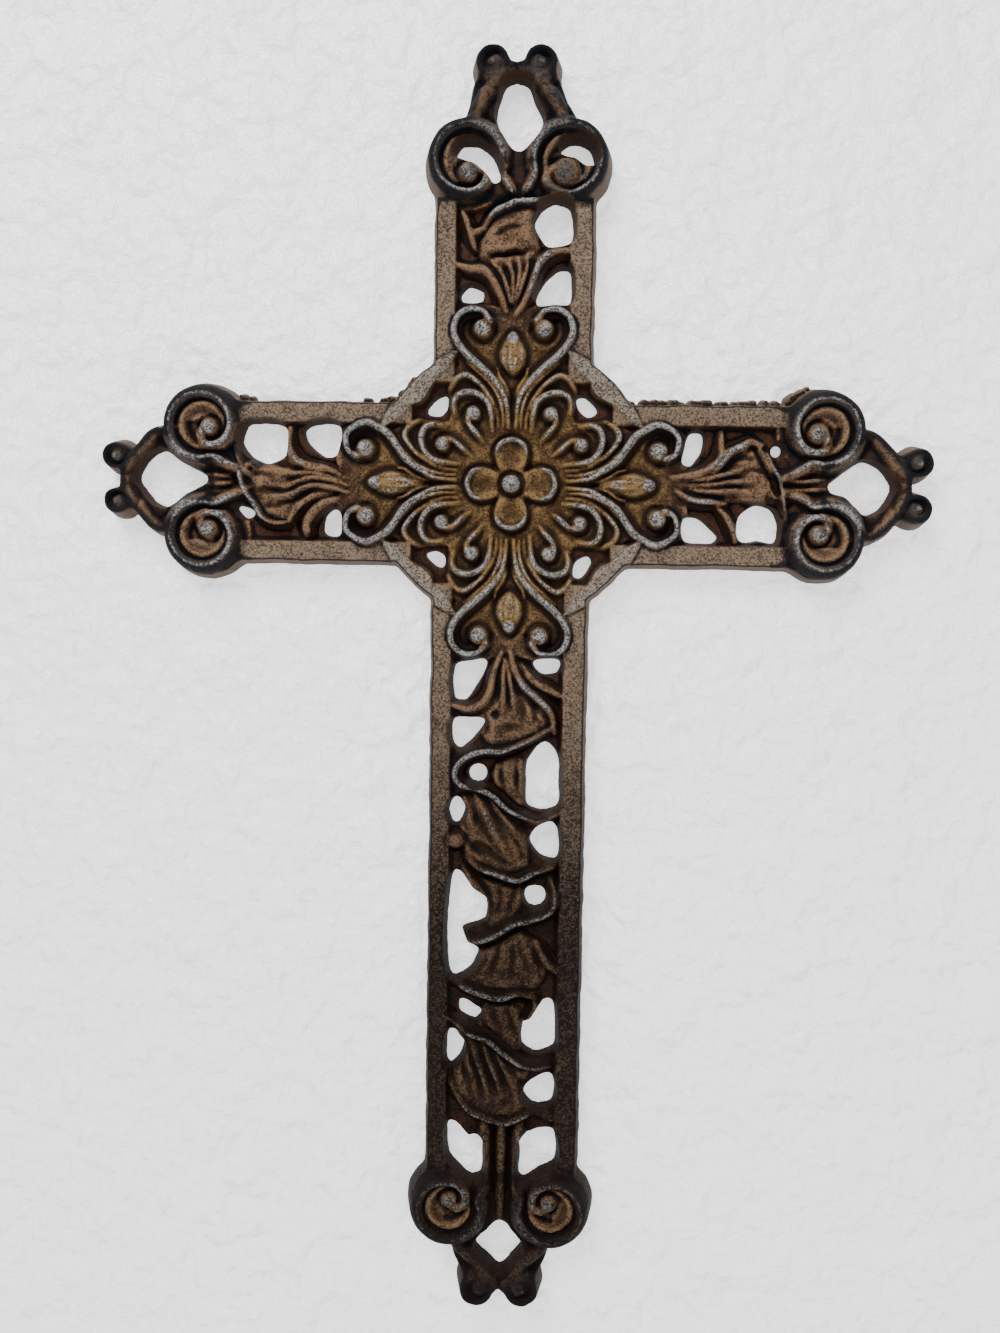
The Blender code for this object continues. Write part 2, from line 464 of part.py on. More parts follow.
def fitted(path, terminal=False):
    """Path as drawn, moved to the width and length of its own arm.

    The carving and the piercings stretch between the disc and the end of the rails.  What belongs to a
    terminal keeps its form and shifts with that end.
    """
    arm = arm_of(*path[0])
    half, end = ARMS[arm]
    drawn_half, drawn_end = DRAWN_ARMS[arm]
    moved = []
    for x, y in path:
        run, across = (y, x) if arm in ("upper", "lower") else (x, y)
        share = 1.0 if terminal else min(1.0, max(0.0, (abs(run) - DISC) / (drawn_end - DISC)))
        if abs(run) > DISC and not terminal:
            across = across * (half / drawn_half)
        run += math.copysign((end - drawn_end) * share, run)
        moved.append((across, run) if arm in ("upper", "lower") else (run, across))
    return tuple(moved)


def arm_plates(store):
    """Pierced ground, rails and the ring round the rosette."""
    tapered_bar(store, -UPRIGHT_HALF + 1.0, UPRIGHT_HALF - 1.0, UPRIGHT_FOOT, UPRIGHT_TOP, WEB)
    tapered_bar(store, -CROSSBAR_REACH, CROSSBAR_REACH, -CROSSBAR_HALF + 1.0, CROSSBAR_HALF - 1.0, WEB)
    tapered_disc(store, 0.0, RING_RISE, RING_OUTER - 0.5, WEB, 64)
    tapered_disc(store, 0.0, 0.0, ROSETTE_GROUND_RADIUS - 6.0, ROSETTE_GROUND, 48)
    for side in (-1.0, 1.0):
        for low, high in ((RAIL_ROOT, UPRIGHT_TOP), (UPRIGHT_FOOT, -RAIL_ROOT)):
            edges = sorted((side * UPRIGHT_HALF, side * (UPRIGHT_HALF - RAIL_WIDTH)))
            tapered_bar(store, edges[0], edges[1], low, high, RAIL)
        for left, right in ((-CROSSBAR_REACH, -RAIL_ROOT), (RAIL_ROOT, CROSSBAR_REACH)):
            edges = sorted((side * CROSSBAR_HALF, side * (CROSSBAR_HALF - RAIL_WIDTH)))
            tapered_bar(store, left, right, edges[0], edges[1], RAIL)
    middle = RING_OUTER - 0.5 * RING_WIDTH
    half = 0.5 * RING_WIDTH - DRAFT * RAIL
    for corner in (45.0, 135.0, 225.0, 315.0):
        arc = [(middle * math.cos(math.radians(corner + swing)),
                RING_RISE + middle * math.sin(math.radians(corner + swing)))
               for swing in (-20.0, -10.0, 0.0, 10.0, 20.0)]
        strand(store, arc, half, RAIL, ends=(1.0, 1.0), flat=True, steps=4)


def rosette(store):
    """Boss, four dished petals, four leaves on the axes and eight nests of scrolls."""
    dome(store, 0.0, 0.0, BOSS_RADIUS, BOSS_RADIUS, BOSS_CREST)
    for quarter in (0.0, 90.0, 180.0, 270.0):
        path, half, crest = PETAL
        strand(store, turned(path, quarter, False), half, crest, ends=(0.7, 0.7))
        path, half, crest = AXIS_LEAF_RIM
        strand(store, turned(path, quarter, False), half, crest, ends=(0.5, 0.5))
        x, y, across, along, crest = AXIS_LEAF
        (spot_x, spot_y), = turned(((x, y),), quarter, False)
        dome(store, spot_x, spot_y, across, along, crest - 1.2, quarter)
        for mirror in (False, True):
            for path, half, crest in ROSETTE_EIGHTH:
                strand(store, turned(path, quarter, mirror), half, crest, ends=(0.45, 0.7), steps=3)
            for x, y, radius, crest in ROSETTE_BUDS:
                (spot_x, spot_y), = turned(((x, y),), quarter, mirror)
                dome(store, spot_x, spot_y, radius, radius, crest)


def terminals(store):
    """Scrolls, knobs, legs and plates of the four ends."""
    for x, y, start, turn, eye_x, eye_y, eye in SCROLLS:
        (x, y), (eye_x, eye_y) = fitted(((x, y), (eye_x, eye_y)), terminal=True)
        scroll(store, x, y, start, turn, eye_x, eye_y, eye)
    for x, y, radius in KNOBS:
        (x, y), = fitted(((x, y),), terminal=True)
        tapered_disc(store, x, y, radius, 4.6, 24)
        dome(store, x, y, radius - 0.3, radius - 0.3, KNOB_CREST)
    for outline in CROWNS:
        add_mesh(store, rounded_prism("crown", fitted(outline, terminal=True), 3, CROWN_PLATE, 1.0, -1.0))
    for path in LEGS:
        strand(store, fitted(path, terminal=True), LEG_HALF, LEG_CREST, ends=(1.0, 1.0))
    for x, y, across, along in TIES:
        (x, y), = fitted(((x, y),), terminal=True)
        tapered_bar(store, x - across, x + across, y - along, y + along, TIE_PLATE)
    for x in STEM_FLUTES:
        flute = ((x, STEM_TOP), (x, 0.5 * (STEM_TOP + STEM_FOOT)), (0.86 * x, STEM_FOOT))
        strand(store, fitted(flute, terminal=True), STEM_FLUTE_HALF, STEM_FLUTE_CREST, ends=(0.8, 0.8))


def carve(store):
    """Whole raised casting, before it is pierced and its back trimmed flat."""
    arm_plates(store)
    rosette(store)
    terminals(store)
    for group in (UPPER_STRANDS, LEFT_STRANDS, RIGHT_STRANDS, LOWER_STRANDS):
        for path, half, crest in group:
            strand(store, fitted(path), half, crest)
    for x, y, across, along, crest, turn in LEAF_BODIES:
        (x, y), = fitted(((x, y),))
        dome(store, x, y, across, along, crest, turn)


def melt(store):
    """Melt every overlapping piece into one skin and thin it to the wanted number of faces."""
    mesh = bpy.data.meshes.new("cross_casting")
    store.to_mesh(mesh)
    raw = bpy.data.objects.new("raw", mesh)
    bpy.context.scene.collection.objects.link(raw)
    skin = raw.modifiers.new("melt", "REMESH")
    skin.mode = "VOXEL"
    skin.voxel_size = VOXEL * MM
    graph = bpy.context.evaluated_depsgraph_get()
    graph.update()
    whole = bpy.data.meshes.new_from_object(raw.evaluated_get(graph))
    bpy.data.objects.remove(raw, do_unlink=True)
    melted = bpy.data.objects.new("melted", whole)
    bpy.context.scene.collection.objects.link(melted)
    trim = bmesh.new()
    trim.from_mesh(whole)
    bmesh.ops.bisect_plane(trim, geom=trim.verts[:] + trim.edges[:] + trim.faces[:], dist=0.0,
                           plane_co=(0.0, 0.0, 0.0), plane_no=(0.0, 0.0, 1.0), clear_inner=True)
    rim = [edge for edge in trim.edges if edge.is_boundary]
    bmesh.ops.triangle_fill(trim, use_beauty=True, edges=rim)
    bmesh.ops.recalc_face_normals(trim, faces=trim.faces)
    bmesh.ops.triangulate(trim, faces=trim.faces)
    count = len(trim.faces)
    trim.to_mesh(whole)
    trim.free()
    thin = melted.modifiers.new("thin", "DECIMATE")
    thin.ratio = CARVED_FACES / count
    graph = bpy.context.evaluated_depsgraph_get()
    graph.update()
    final = bpy.data.meshes.new_from_object(melted.evaluated_get(graph))
    bpy.data.objects.remove(melted, do_unlink=True)
    return final


def stand_upright():
    """Matrix from the drawing frame to the wall: front toward -Y, origin at the top of the hanging eye."""
    return Matrix.Translation((0.0, 0.0, -HANG_HEIGHT * MM)) @ Matrix.Rotation(math.radians(90.0), 4, "X")


def piercing(name, points, cutters, steps=2):
    """Cutter for one piercing: its outline at the back, widening toward the front by the draft."""
    mesh = rounded_prism(name, points, steps, 14.0, 2.0, 1.0)
    mesh.transform(stand_upright())
    cutter = bpy.data.objects.new(name, mesh)
    cutter.display_type = "WIRE"
    cutter.hide_render = True
    cutters.objects.link(cutter)


def iron():
    """Dark brown cast iron."""
    metal = bpy.data.materials.new("cast_iron")
    metal.use_nodes = True
    shader = metal.node_tree.nodes["Principled BSDF"]
    shader.inputs["Base Color"].default_value = (0.06, 0.045, 0.035, 1.0)
    shader.inputs["Metallic"].default_value = 0.4
    shader.inputs["Roughness"].default_value = 0.65
    return metal


def build():
    """Build the casting."""
    clear_scene()
    home = make_collection("wall_cross")
    cutters = make_collection("piercing_cutters")
    store = bmesh.new()
    carve(store)
    mesh = melt(store)
    store.free()
    mesh.transform(stand_upright())
    mesh.name = "cross_casting"
    mesh.materials.clear()
    mesh.materials.append(iron())
    casting = bpy.data.objects.new("cross_casting", mesh)
    home.objects.link(casting)
    for name, points in PIERCINGS:
        piercing(name, fitted(points, terminal=name in TERMINAL_PIERCINGS), cutters)
    for name, x, y, radius in ROUND_PIERCINGS:
        (x, y), = fitted(((x, y),))
        ring = tuple((x + radius * math.cos(math.radians(angle)),
                      y + radius * math.sin(math.radians(angle)))
                     for angle in range(0, 360, 60))
        piercing(name, ring, cutters)
    cut = casting.modifiers.new("piercings", "BOOLEAN")
    cut.operation = "DIFFERENCE"
    cut.operand_type = "COLLECTION"
    cut.collection = cutters
    cut.solver = "EXACT"


build()
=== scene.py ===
# Cast iron wall cross: the relief of the casting, its worn black, brown and silver finish with painted
# shade and highlights, and the studio.
#
# The relief is drawn in a flat drawing frame in millimetres: X to the right, Y up the wall, Z out toward
# the viewer, with the middle of the rosette at the origin.

import logging
import math
from dataclasses import dataclass
from enum import Enum

import bpy
import numpy as np
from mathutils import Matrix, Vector


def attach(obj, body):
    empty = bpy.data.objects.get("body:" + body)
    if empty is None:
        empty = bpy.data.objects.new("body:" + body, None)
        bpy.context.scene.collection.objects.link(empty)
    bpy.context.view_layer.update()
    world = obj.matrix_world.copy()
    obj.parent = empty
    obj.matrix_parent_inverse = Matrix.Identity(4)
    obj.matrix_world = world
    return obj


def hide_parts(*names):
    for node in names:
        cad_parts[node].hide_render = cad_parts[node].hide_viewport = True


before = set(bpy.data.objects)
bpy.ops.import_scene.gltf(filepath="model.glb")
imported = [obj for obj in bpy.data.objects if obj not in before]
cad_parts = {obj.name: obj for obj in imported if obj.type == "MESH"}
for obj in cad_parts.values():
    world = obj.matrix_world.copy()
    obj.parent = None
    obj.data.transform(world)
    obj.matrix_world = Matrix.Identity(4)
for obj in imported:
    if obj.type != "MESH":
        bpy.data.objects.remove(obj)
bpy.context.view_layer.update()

Point = tuple[float, float]
Path = tuple[Point, ...]
Place = tuple[float, float, float]
Colour = tuple[float, float, float, float]
Window = tuple[slice, slice]
Socket = bpy.types.NodeSocket

MM = 0.001
HANG_HEIGHT = 94.4                       # middle of the rosette up to the top of the hanging eye
DRAFT = math.tan(math.radians(10.0))     # lean of every wall
WEB = 3.5                                # thickness of the pierced ground
RAIL = 6.0                               # height of the rails and the ring
UPRIGHT_HALF = 19.7                      # half the upright's width at the back
CROSSBAR_HALF = 20.1                     # half the crossbar's height at the back
UPRIGHT_TOP = 68.0                       # top of the upright's rails
UPRIGHT_FOOT = -173.0                    # foot of the upright's rails
CROSSBAR_REACH = 68.0                    # reach of the crossbar's rails to either side
RING_OUTER = 34.7                        # outer radius of the ring round the rosette
RING_RISE = 0.5                          # its middle over the rosette's middle
SCROLL_RADIUS = 10.9                     # outer radius of a terminal scroll
CORNER_EASE = 0.22                       # share of a side that the easing of its corners takes up
PITCH = 0.36                             # spacing of the relief's samples
BARE = -1.0                              # level of the relief where there is no iron
NOTHING = -9.0                           # level or depth of a form outside its own outline
SCOOP_FLOOR = 2.4                        # level below which no hollow sinks
EVERYWHERE = (slice(None), slice(None))  # window over the whole relief
QUARTERS = (0.0, 90.0, 180.0, 270.0)     # turns of the four arms of the rosette
FACES = 186000                           # triangles kept in the casting
FLAT_FACING = 0.95                       # how squarely a face of the flat back looks at the wall
VIEW_FOOT = (7.9, -21.8)                 # point of the drawing that the front view looks at squarely
VIEW_PULL = 0.007                        # share by which carving leans away from that point in the view


class Flank(Enum):
    """How a strand falls away from its crest."""

    ROUND = "round"
    HOLLOW = "hollow"


@dataclass(frozen=True)
class Strand:
    """Raised strand of the carving, from its root to its tip.

    Attributes:
        path: points along its crest.
        crest: level of the crest over the wall plane.
        left: reach of its flank on the left of the path.
        right: reach of its flank on the right.
        start: share of the full form that it has at its root.
        end: share that it has at its tip.
        left_flank: how it falls away on the left.
        right_flank: how it falls away on the right.
        foot: level from which it rises.
        gutter: depth of the groove beside it.
        fullness: power of the rounded flank, fuller when small.
    """

    path: Path
    crest: float = 7.6
    left: float = 1.2
    right: float = 1.2
    start: float = 0.45
    end: float = 0.5
    left_flank: Flank = Flank.ROUND
    right_flank: Flank = Flank.ROUND
    foot: float = 3.2
    gutter: float = 0.5
    fullness: float = 1.2


@dataclass(frozen=True)
class Swelling:
    """Rounded body of a leaf, a bulb or a knob.

    Attributes:
        x: middle across the wall.
        y: middle up the wall.
        across: half its width.
        along: half its length.
        crest: level of its top.
        turn: turn of its length in degrees.
        foot: level from which it rises.
        fullness: power of its rounding, fuller when small.
        gutter: depth of the groove round it.
    """

    x: float
    y: float
    across: float
    along: float
    crest: float
    turn: float = 0.0
    foot: float = 3.2
    fullness: float = 0.5
    gutter: float = 0.0


def from_front(path: Path) -> Path:
    """Carving read off a front view, moved to its true place on the casting.

    Args:
        path: points as they show in the front view.

    Returns:
        The same points on the casting.
    """
    foot_x, foot_y = VIEW_FOOT
    return tuple((x + VIEW_PULL * (foot_x - x), y + VIEW_PULL * (foot_y - y)) for x, y in path)


def placed(path: Path, quarter: float = 0.0, mirror: bool = False) -> Path:
    """Copy of a path turned about the rosette's middle.

    Args:
        path: points beside the upright's axis.
        quarter: turn in degrees.
        mirror: whether it is first mirrored across the upright.

    Returns:
        The turned points.
    """
    side = -1.0 if mirror else 1.0
    cos, sin = math.cos(math.radians(quarter)), math.sin(math.radians(quarter))
    return tuple((side * x * cos - y * sin, side * x * sin + y * cos) for x, y in path)


def swapped(path: Path) -> Path:
    """Mirror image of a path across the diagonal."""
    return tuple((y, x) for x, y in path)


def smooth_path(path: Path, pitch: float = 0.7) -> np.ndarray:
    """Closely spaced places on a smooth curve through some points.

    Args:
        path: the points.
        pitch: rough distance between places.

    Returns:
        An array of places, one row each.
    """
    knots = np.asarray(path, dtype=float)
    padded = np.vstack((2.0 * knots[0] - knots[1], knots, 2.0 * knots[-1] - knots[-2]))
    runs = []
    for before, here, there, after in zip(padded, padded[1:], padded[2:], padded[3:]):
        count = max(2, int(np.linalg.norm(there - here) / pitch) + 1)
        t = np.linspace(0.0, 1.0, count, endpoint=False)[:, None]
        runs.append(0.5 * (2.0 * here + (there - before) * t
                           + (2.0 * before - 5.0 * here + 4.0 * there - after) * t ** 2
                           + (3.0 * here - before - 3.0 * there + after) * t ** 3))
    runs.append(knots[-1:])
    return np.vstack(runs)


def rounded_outline(path: Path, steps: int = 5) -> np.ndarray:
    """Closed outline through some corners, each eased into a round one.

    Args:
        path: the corners.
        steps: places along each side.

    Returns:
        An array of places round the outline.
    """
    corners = np.asarray(path, dtype=float)
    before, after = np.roll(corners, 1, axis=0), np.roll(corners, -1, axis=0)
    heading = after - before
    heading /= np.linalg.norm(heading, axis=1)[:, None]
    handle_in = corners - heading * CORNER_EASE * np.linalg.norm(corners - before, axis=1)[:, None]
    handle_out = corners + heading * CORNER_EASE * np.linalg.norm(after - corners, axis=1)[:, None]
    t = np.linspace(0.0, 1.0, steps, endpoint=False)[:, None]
    sides = []
    for index in range(len(corners)):
        other = (index + 1) % len(corners)
        sides.append((1.0 - t) ** 3 * corners[index] + 3.0 * (1.0 - t) ** 2 * t * handle_out[index]
                     + 3.0 * (1.0 - t) * t ** 2 * handle_in[other] + t ** 3 * corners[other])
    return np.vstack(sides)


def smooth_max(first: np.ndarray, second: np.ndarray, blend: float) -> np.ndarray:
    """Larger of two fields, with a fillet where they meet."""
    near = np.clip(1.0 - np.abs(first - second) / blend, 0.0, None)
    return np.maximum(first, second) + 0.25 * blend * near ** 2


def smooth_min(first: np.ndarray, second: np.ndarray, blend: float) -> np.ndarray:
    """Smaller of two fields, with a rounding where they meet."""
    return -smooth_max(-first, -second, blend)


def blurred(values: np.ndarray, radius: float) -> np.ndarray:
    """Field smoothed by a bell.

    Args:
        values: the field.
        radius: radius of the bell in samples.

    Returns:
        The smoothed field.
    """
    reach = int(math.ceil(2.5 * radius))
    offsets = np.arange(-reach, reach + 1)
    weights = np.exp(-0.5 * (offsets / radius) ** 2)
    weights /= weights.sum()
    result = values
    for axis in (0, 1):
        pad = [(reach, reach) if axis == other else (0, 0) for other in (0, 1)]
        wide = np.pad(result, pad, mode="edge")
        size = result.shape[axis]
        result = sum(weight * np.take(wide, np.arange(start, start + size), axis=axis)
                     for start, weight in enumerate(weights))
    return result


class Relief:
    """Height of the front over the wall plane, and the plan outline, on a grid of samples.

    Attributes:
        x: places of the columns.
        y: places of the rows.
        height: level of the front at every sample.
        outside: distance inside the outer outline at the back.
        holes: distance from the nearest piercing at the back.
        zones: share of each zone of the finish at every sample.
        dice: random numbers of the casting's unevenness.
    """

    def __init__(self) -> None:
        """Start with an empty sheet."""
        self.x = np.arange(-102.6, 103.2, PITCH)
        self.y = np.arange(-207.6, 104.6, PITCH)
        shape = (len(self.y), len(self.x))
        self.height = np.full(shape, BARE)
        self.outside = np.full(shape, NOTHING)
        self.holes = np.full(shape, -NOTHING)
        self.zones = {name: np.zeros(shape) for name in ("ring", "rail", "channel")}
        self.grid_x, self.grid_y = np.meshgrid(self.x, self.y)
        self.dice = np.random.default_rng(7)

    def window(self, places: np.ndarray, reach: float) -> Window:
        """Part of the grid round some places.

        Args:
            places: the places, one row each.
            reach: how far round them it goes.

        Returns:
            The rows and the columns.
        """
        low, high = places.min(axis=0) - reach, places.max(axis=0) + reach
        rows = slice(int(np.searchsorted(self.y, low[1])), int(np.searchsorted(self.y, high[1])))
        columns = slice(int(np.searchsorted(self.x, low[0])), int(np.searchsorted(self.x, high[0])))
        return rows, columns

    def along(self, places: np.ndarray,
              reach: float) -> tuple[Window, np.ndarray, np.ndarray, np.ndarray]:
        """Distance to a line of places.

        Args:
            places: the places, in order.
            reach: how far around them to measure.

        Returns:
            The window, the distance, the side (1 on the left) and the share of the way along.
        """
        area = self.window(places, reach)
        x, y = self.grid_x[area], self.grid_y[area]
        nearest = np.full(x.shape, 1e9)
        side, share = np.ones(x.shape), np.zeros(x.shape)
        steps = np.linalg.norm(np.diff(places, axis=0), axis=1)
        whole, run = max(float(steps.sum()), 1e-6), 0.0
        for (ax, ay), (bx, by), step in zip(places, places[1:], steps):
            dx, dy = bx - ax, by - ay
            t = np.clip(((x - ax) * dx + (y - ay) * dy) / max(dx * dx + dy * dy, 1e-9), 0.0, 1.0)
            off_x, off_y = x - ax - t * dx, y - ay - t * dy
            far = off_x ** 2 + off_y ** 2
            closer = far < nearest
            nearest = np.where(closer, far, nearest)
            side = np.where(closer, np.where(dx * off_y - dy * off_x >= 0.0, 1.0, -1.0), side)
            share = np.where(closer, (run + t * step) / whole, share)
            run += step
        return area, np.sqrt(nearest), side, share

    def within(self, outline: np.ndarray, reach: float) -> tuple[Window, np.ndarray]:
        """Distance inside a closed outline, negative outside it.

        Args:
            outline: places round the outline.
            reach: how far around it to measure.

        Returns:
            The window and the distance.
        """
        ring = np.vstack((outline, outline[:1]))
        area, distance, _, _ = self.along(ring, reach)
        x, y = self.grid_x[area], self.grid_y[area]
        inside = np.zeros(x.shape, dtype=bool)
        for (ax, ay), (bx, by) in zip(ring, ring[1:]):
            if ay != by:
                inside ^= ((ay > y) != (by > y)) & (x < ax + (y - ay) * (bx - ax) / (by - ay))
        return area, np.where(inside, distance, -distance)

    def lift(self, area: Window, level: np.ndarray, blend: float = 0.45) -> None:
        """Raise a window of the relief to a level where that is higher."""
        self.height[area] = smooth_max(self.height[area], level, blend)

    def sink(self, area: Window, cut: np.ndarray) -> None:
        """Lower a window of the relief by a cut where there is iron."""
        self.height[area] -= np.where(self.height[area] > 0.0, cut, 0.0)

    def zone(self, name: str, area: Window, share: np.ndarray) -> None:
        """Count a window of the relief to a zone of the finish, by a share from 0 to 1."""
        self.zones[name][area] = np.maximum(self.zones[name][area], np.clip(share, 0.0, 1.0))

    def strand(self, strand: Strand) -> None:
        """Lay a strand over the relief, with a gutter beside it.

        Args:
            strand: the strand.
        """
        widest = max(strand.left, strand.right)
        area, off, side, share = self.along(smooth_path(strand.path), 1.6 * widest + 0.6)
        fade = np.clip(np.minimum(strand.start + (1.0 - strand.start) * share / 0.28,
                                  strand.end + (1.0 - strand.end) * (1.0 - share) / 0.28), 0.0, 1.0)
        wide = np.where(side > 0.0, strand.left, strand.right) * (0.35 + 0.65 * fade)
        flank = np.where(side > 0.0, strand.left_flank is Flank.HOLLOW, strand.right_flank is Flank.HOLLOW)
        reach = off / wide
        rounded = np.clip(1.0 - reach ** 2, 0.0, None) ** strand.fullness
        hollow = np.clip(1.0 - reach, 0.0, None) ** 1.7
        form = np.where(flank, hollow, rounded)
        crest = strand.foot + (strand.crest - strand.foot) * (0.25 + 0.75 * fade)
        cut = np.where(flank, 0.0, strand.gutter) * fade * np.exp(-((off - wide - 0.3) / 0.55) ** 2)
        self.sink(area, cut)
        level = np.where(reach < 1.0, strand.foot + (crest - strand.foot) * form, NOTHING)
        self.lift(area, level, 0.35)

    def swelling(self, body: Swelling) -> None:
        """Raise a rounded body.

        Args:
            body: the body.
        """
        spread = max(body.across, body.along)
        area = self.window(np.array([[body.x, body.y]]), spread + 1.6)
        angle = math.radians(body.turn)
        off_x, off_y = self.grid_x[area] - body.x, self.grid_y[area] - body.y
        u = (off_x * math.cos(angle) + off_y * math.sin(angle)) / body.across
        v = (off_y * math.cos(angle) - off_x * math.sin(angle)) / body.along
        reach = np.sqrt(u ** 2 + v ** 2)
        if body.gutter > 0.0:
            rim = (reach - 1.0) * spread
            cut = body.gutter * np.exp(-((rim - 0.3) / 0.5) ** 2)
            self.sink(area, cut)
        level = np.where(reach < 1.0, body.foot + (body.crest - body.foot)
                         * np.clip(1.0 - reach ** 2, 0.0, None) ** body.fullness, NOTHING)
        self.lift(area, level)

    def scoop(self, x: float, y: float, across: float, along: float, depth: float,
              turn: float = 0.0) -> None:
        """Sink a soft hollow into the relief.

        Args:
            x: its middle across the wall.
            y: its middle up the wall.
            across: half its width.
            along: half its length.
            depth: how deep it goes.
            turn: turn of its length in degrees.
        """
        area = self.window(np.array([[x, y]]), max(across, along) + 0.5)
        angle = math.radians(turn)
        off_x, off_y = self.grid_x[area] - x, self.grid_y[area] - y
        u = (off_x * math.cos(angle) + off_y * math.sin(angle)) / across
        v = (off_y * math.cos(angle) - off_x * math.sin(angle)) / along
        cut = depth * np.clip(1.0 - u ** 2 - v ** 2, 0.0, None) ** 1.5
        self.height[area] = np.maximum(self.height[area] - cut, np.minimum(self.height[area], SCOOP_FLOOR))

    def score(self, path: Path, depth: float, half: float) -> None:
        """Cut a fine line into the relief.

        Args:
            path: points along the line.
            depth: how deep it goes.
            half: half its width.
        """
        area, off, _, share = self.along(smooth_path(path), 3.0 * half)
        fade = np.clip(np.minimum(share, 1.0 - share) / 0.2, 0.15, 1.0)
        cut = depth * fade * np.exp(-(off / half) ** 2)
        self.sink(area, cut)

    def plate(self, outline: np.ndarray, level: float, steep: float = 5.0) -> None:
        """Raise the inside of an outline to a flat level.

        Args:
            outline: places round the outline.
            level: the level.
            steep: fall of its edges for each millimetre outward.
        """
        area, inside = self.within(outline, 2.5)
        self.lift(area, np.where(inside > -1.8, level + steep * np.minimum(inside, 0.0), NOTHING), 0.5)

    def pillow(self, path: Path, crest: float, edge: float = 3.0, foot: float = 3.2) -> None:
        """Raise the inside of an outline to a crest that falls off roundly toward its edges.

        Args:
            path: corners of the outline.
            crest: level of its middle.
            edge: width of the rounded border.
            foot: level at the outline.
        """
        area, inside = self.within(rounded_outline(path), 1.0)
        share = np.clip(inside / edge, 0.0, 1.0)
        level = foot + (crest - foot) * np.sqrt(share * (2.0 - share))
        self.lift(area, np.where(inside > 0.0, level, NOTHING))

    def add_outline(self, distance: np.ndarray, area: Window = EVERYWHERE) -> None:
        """Join a shape to the outside outline."""
        self.outside[area] = smooth_max(self.outside[area], distance, 0.9)

    def pierce(self, outline: np.ndarray) -> None:
        """Cut a piercing through the ground."""
        area, inside = self.within(outline, 8.0)
        self.holes[area] = smooth_min(self.holes[area], -inside, 0.4)


@dataclass
class Frame:
    """Flat rails along the edges, the pierced ground between them and the ring round the rosette.

    Attributes:
        left_inner: inner side of the upright's left rail.
        right_inner: inner side of its right rail.
        level_inner: inner sides of the crossbar's rails, from its middle.
        rail_start: where the rails come out from below the ring.
        ring_level: level of the ring.
        ring_edge: outer edge of the ring's flat.
        ring_inner: inner edge of the ring's flat in one quarter.
        ties: middles and half sizes of the plates that carry the terminals.
        tie_level: level of those plates.
    """

    left_inner: float = -13.9
    right_inner: float = 13.3
    level_inner: float = 14.2
    rail_start: float = 24.0
    ring_level: float = 6.7
    ring_edge: float = 33.7
    ring_inner: Path = (
        (13.2, 30.6), (15.0, 27.4), (16.6, 25.6), (18.4, 24.2), (18.9, 22.2), (20.4, 20.6), (23.0, 19.2),
        (25.2, 17.6), (27.4, 15.2), (30.6, 13.4),
    )
    ties: tuple[tuple[float, float, float, float], ...] = (
        (0.6, 71.0, 8.0, 6.0), (0.0, -177.0, 8.0, 7.0), (-68.5, 0.0, 6.0, 9.0), (69.6, 0.5, 6.4, 9.0),
    )
    tie_level: float = 4.8

    def outline(self, relief: Relief) -> None:
        """Join the bars and the ring to the outside outline.

        Args:
            relief: the relief to draw on.
        """
        x, y = relief.grid_x, relief.grid_y
        upright = np.minimum(np.minimum(UPRIGHT_HALF - np.abs(x), UPRIGHT_TOP - y), y - UPRIGHT_FOOT)
        crossbar = np.minimum(CROSSBAR_HALF - np.abs(y), CROSSBAR_REACH - np.abs(x))
        relief.add_outline(upright)
        relief.add_outline(crossbar)
        relief.add_outline(RING_OUTER - np.hypot(x, y - RING_RISE))
        for tie_x, tie_y, half_x, half_y in self.ties:
            relief.add_outline(np.minimum(half_x - np.abs(x - tie_x), half_y - np.abs(y - tie_y)))

    def carve(self, relief: Relief) -> None:
        """Lay the ground, the ties, the rails and the ring.

        Args:
            relief: the relief to carve.
        """
        x, y = relief.grid_x, relief.grid_y
        ground = np.where(relief.outside > -1.0, WEB, BARE)
        relief.height = np.maximum(relief.height, ground)
        for past in (self.left_inner - x, x - self.right_inner):
            reach = np.minimum(past, np.abs(y) - self.rail_start)
            relief.lift(EVERYWHERE, self.wall(relief, reach), 0.4)
            relief.zone("rail", EVERYWHERE, reach / 0.8 + 0.6)
        for past in (y - self.level_inner, -self.level_inner - y):
            reach = np.minimum(past, np.abs(x) - self.rail_start)
            relief.lift(EVERYWHERE, self.wall(relief, reach), 0.4)
            relief.zone("rail", EVERYWHERE, reach / 0.8 + 0.6)
        for tie_x, tie_y, half_x, half_y in self.ties:
            inside = np.minimum(half_x - np.abs(x - tie_x), half_y - np.abs(y - tie_y))
            level = self.tie_level + 0.8 * np.minimum(inside, 0.0)
            relief.lift(EVERYWHERE, np.where(inside > -2.0, level, NOTHING))
        arc = tuple((self.ring_edge * math.cos(math.radians(angle)),
                     RING_RISE + self.ring_edge * math.sin(math.radians(angle)))
                    for angle in range(20, 71, 5))
        for quarter in QUARTERS:
            edge = placed(arc, quarter)
            relief.score(placed(tuple((1.012 * x, 1.012 * y) for x, y in arc), quarter), 0.6, 0.4)
            band = smooth_path(placed(self.ring_inner, quarter) + edge)
            relief.plate(band, self.ring_level)
            area, inside = relief.within(band, 2.5)
            relief.zone("ring", area, inside / 0.5 + 0.5)

    @staticmethod
    def wall(relief: Relief, reach: np.ndarray) -> np.ndarray:
        """Level of a rail whose inner side falls steeply where its reach runs out."""
        level = RAIL + 5.0 * np.minimum(reach, 0.0)
        return np.where((level > 2.0) & (relief.outside > -1.0), level, NOTHING)


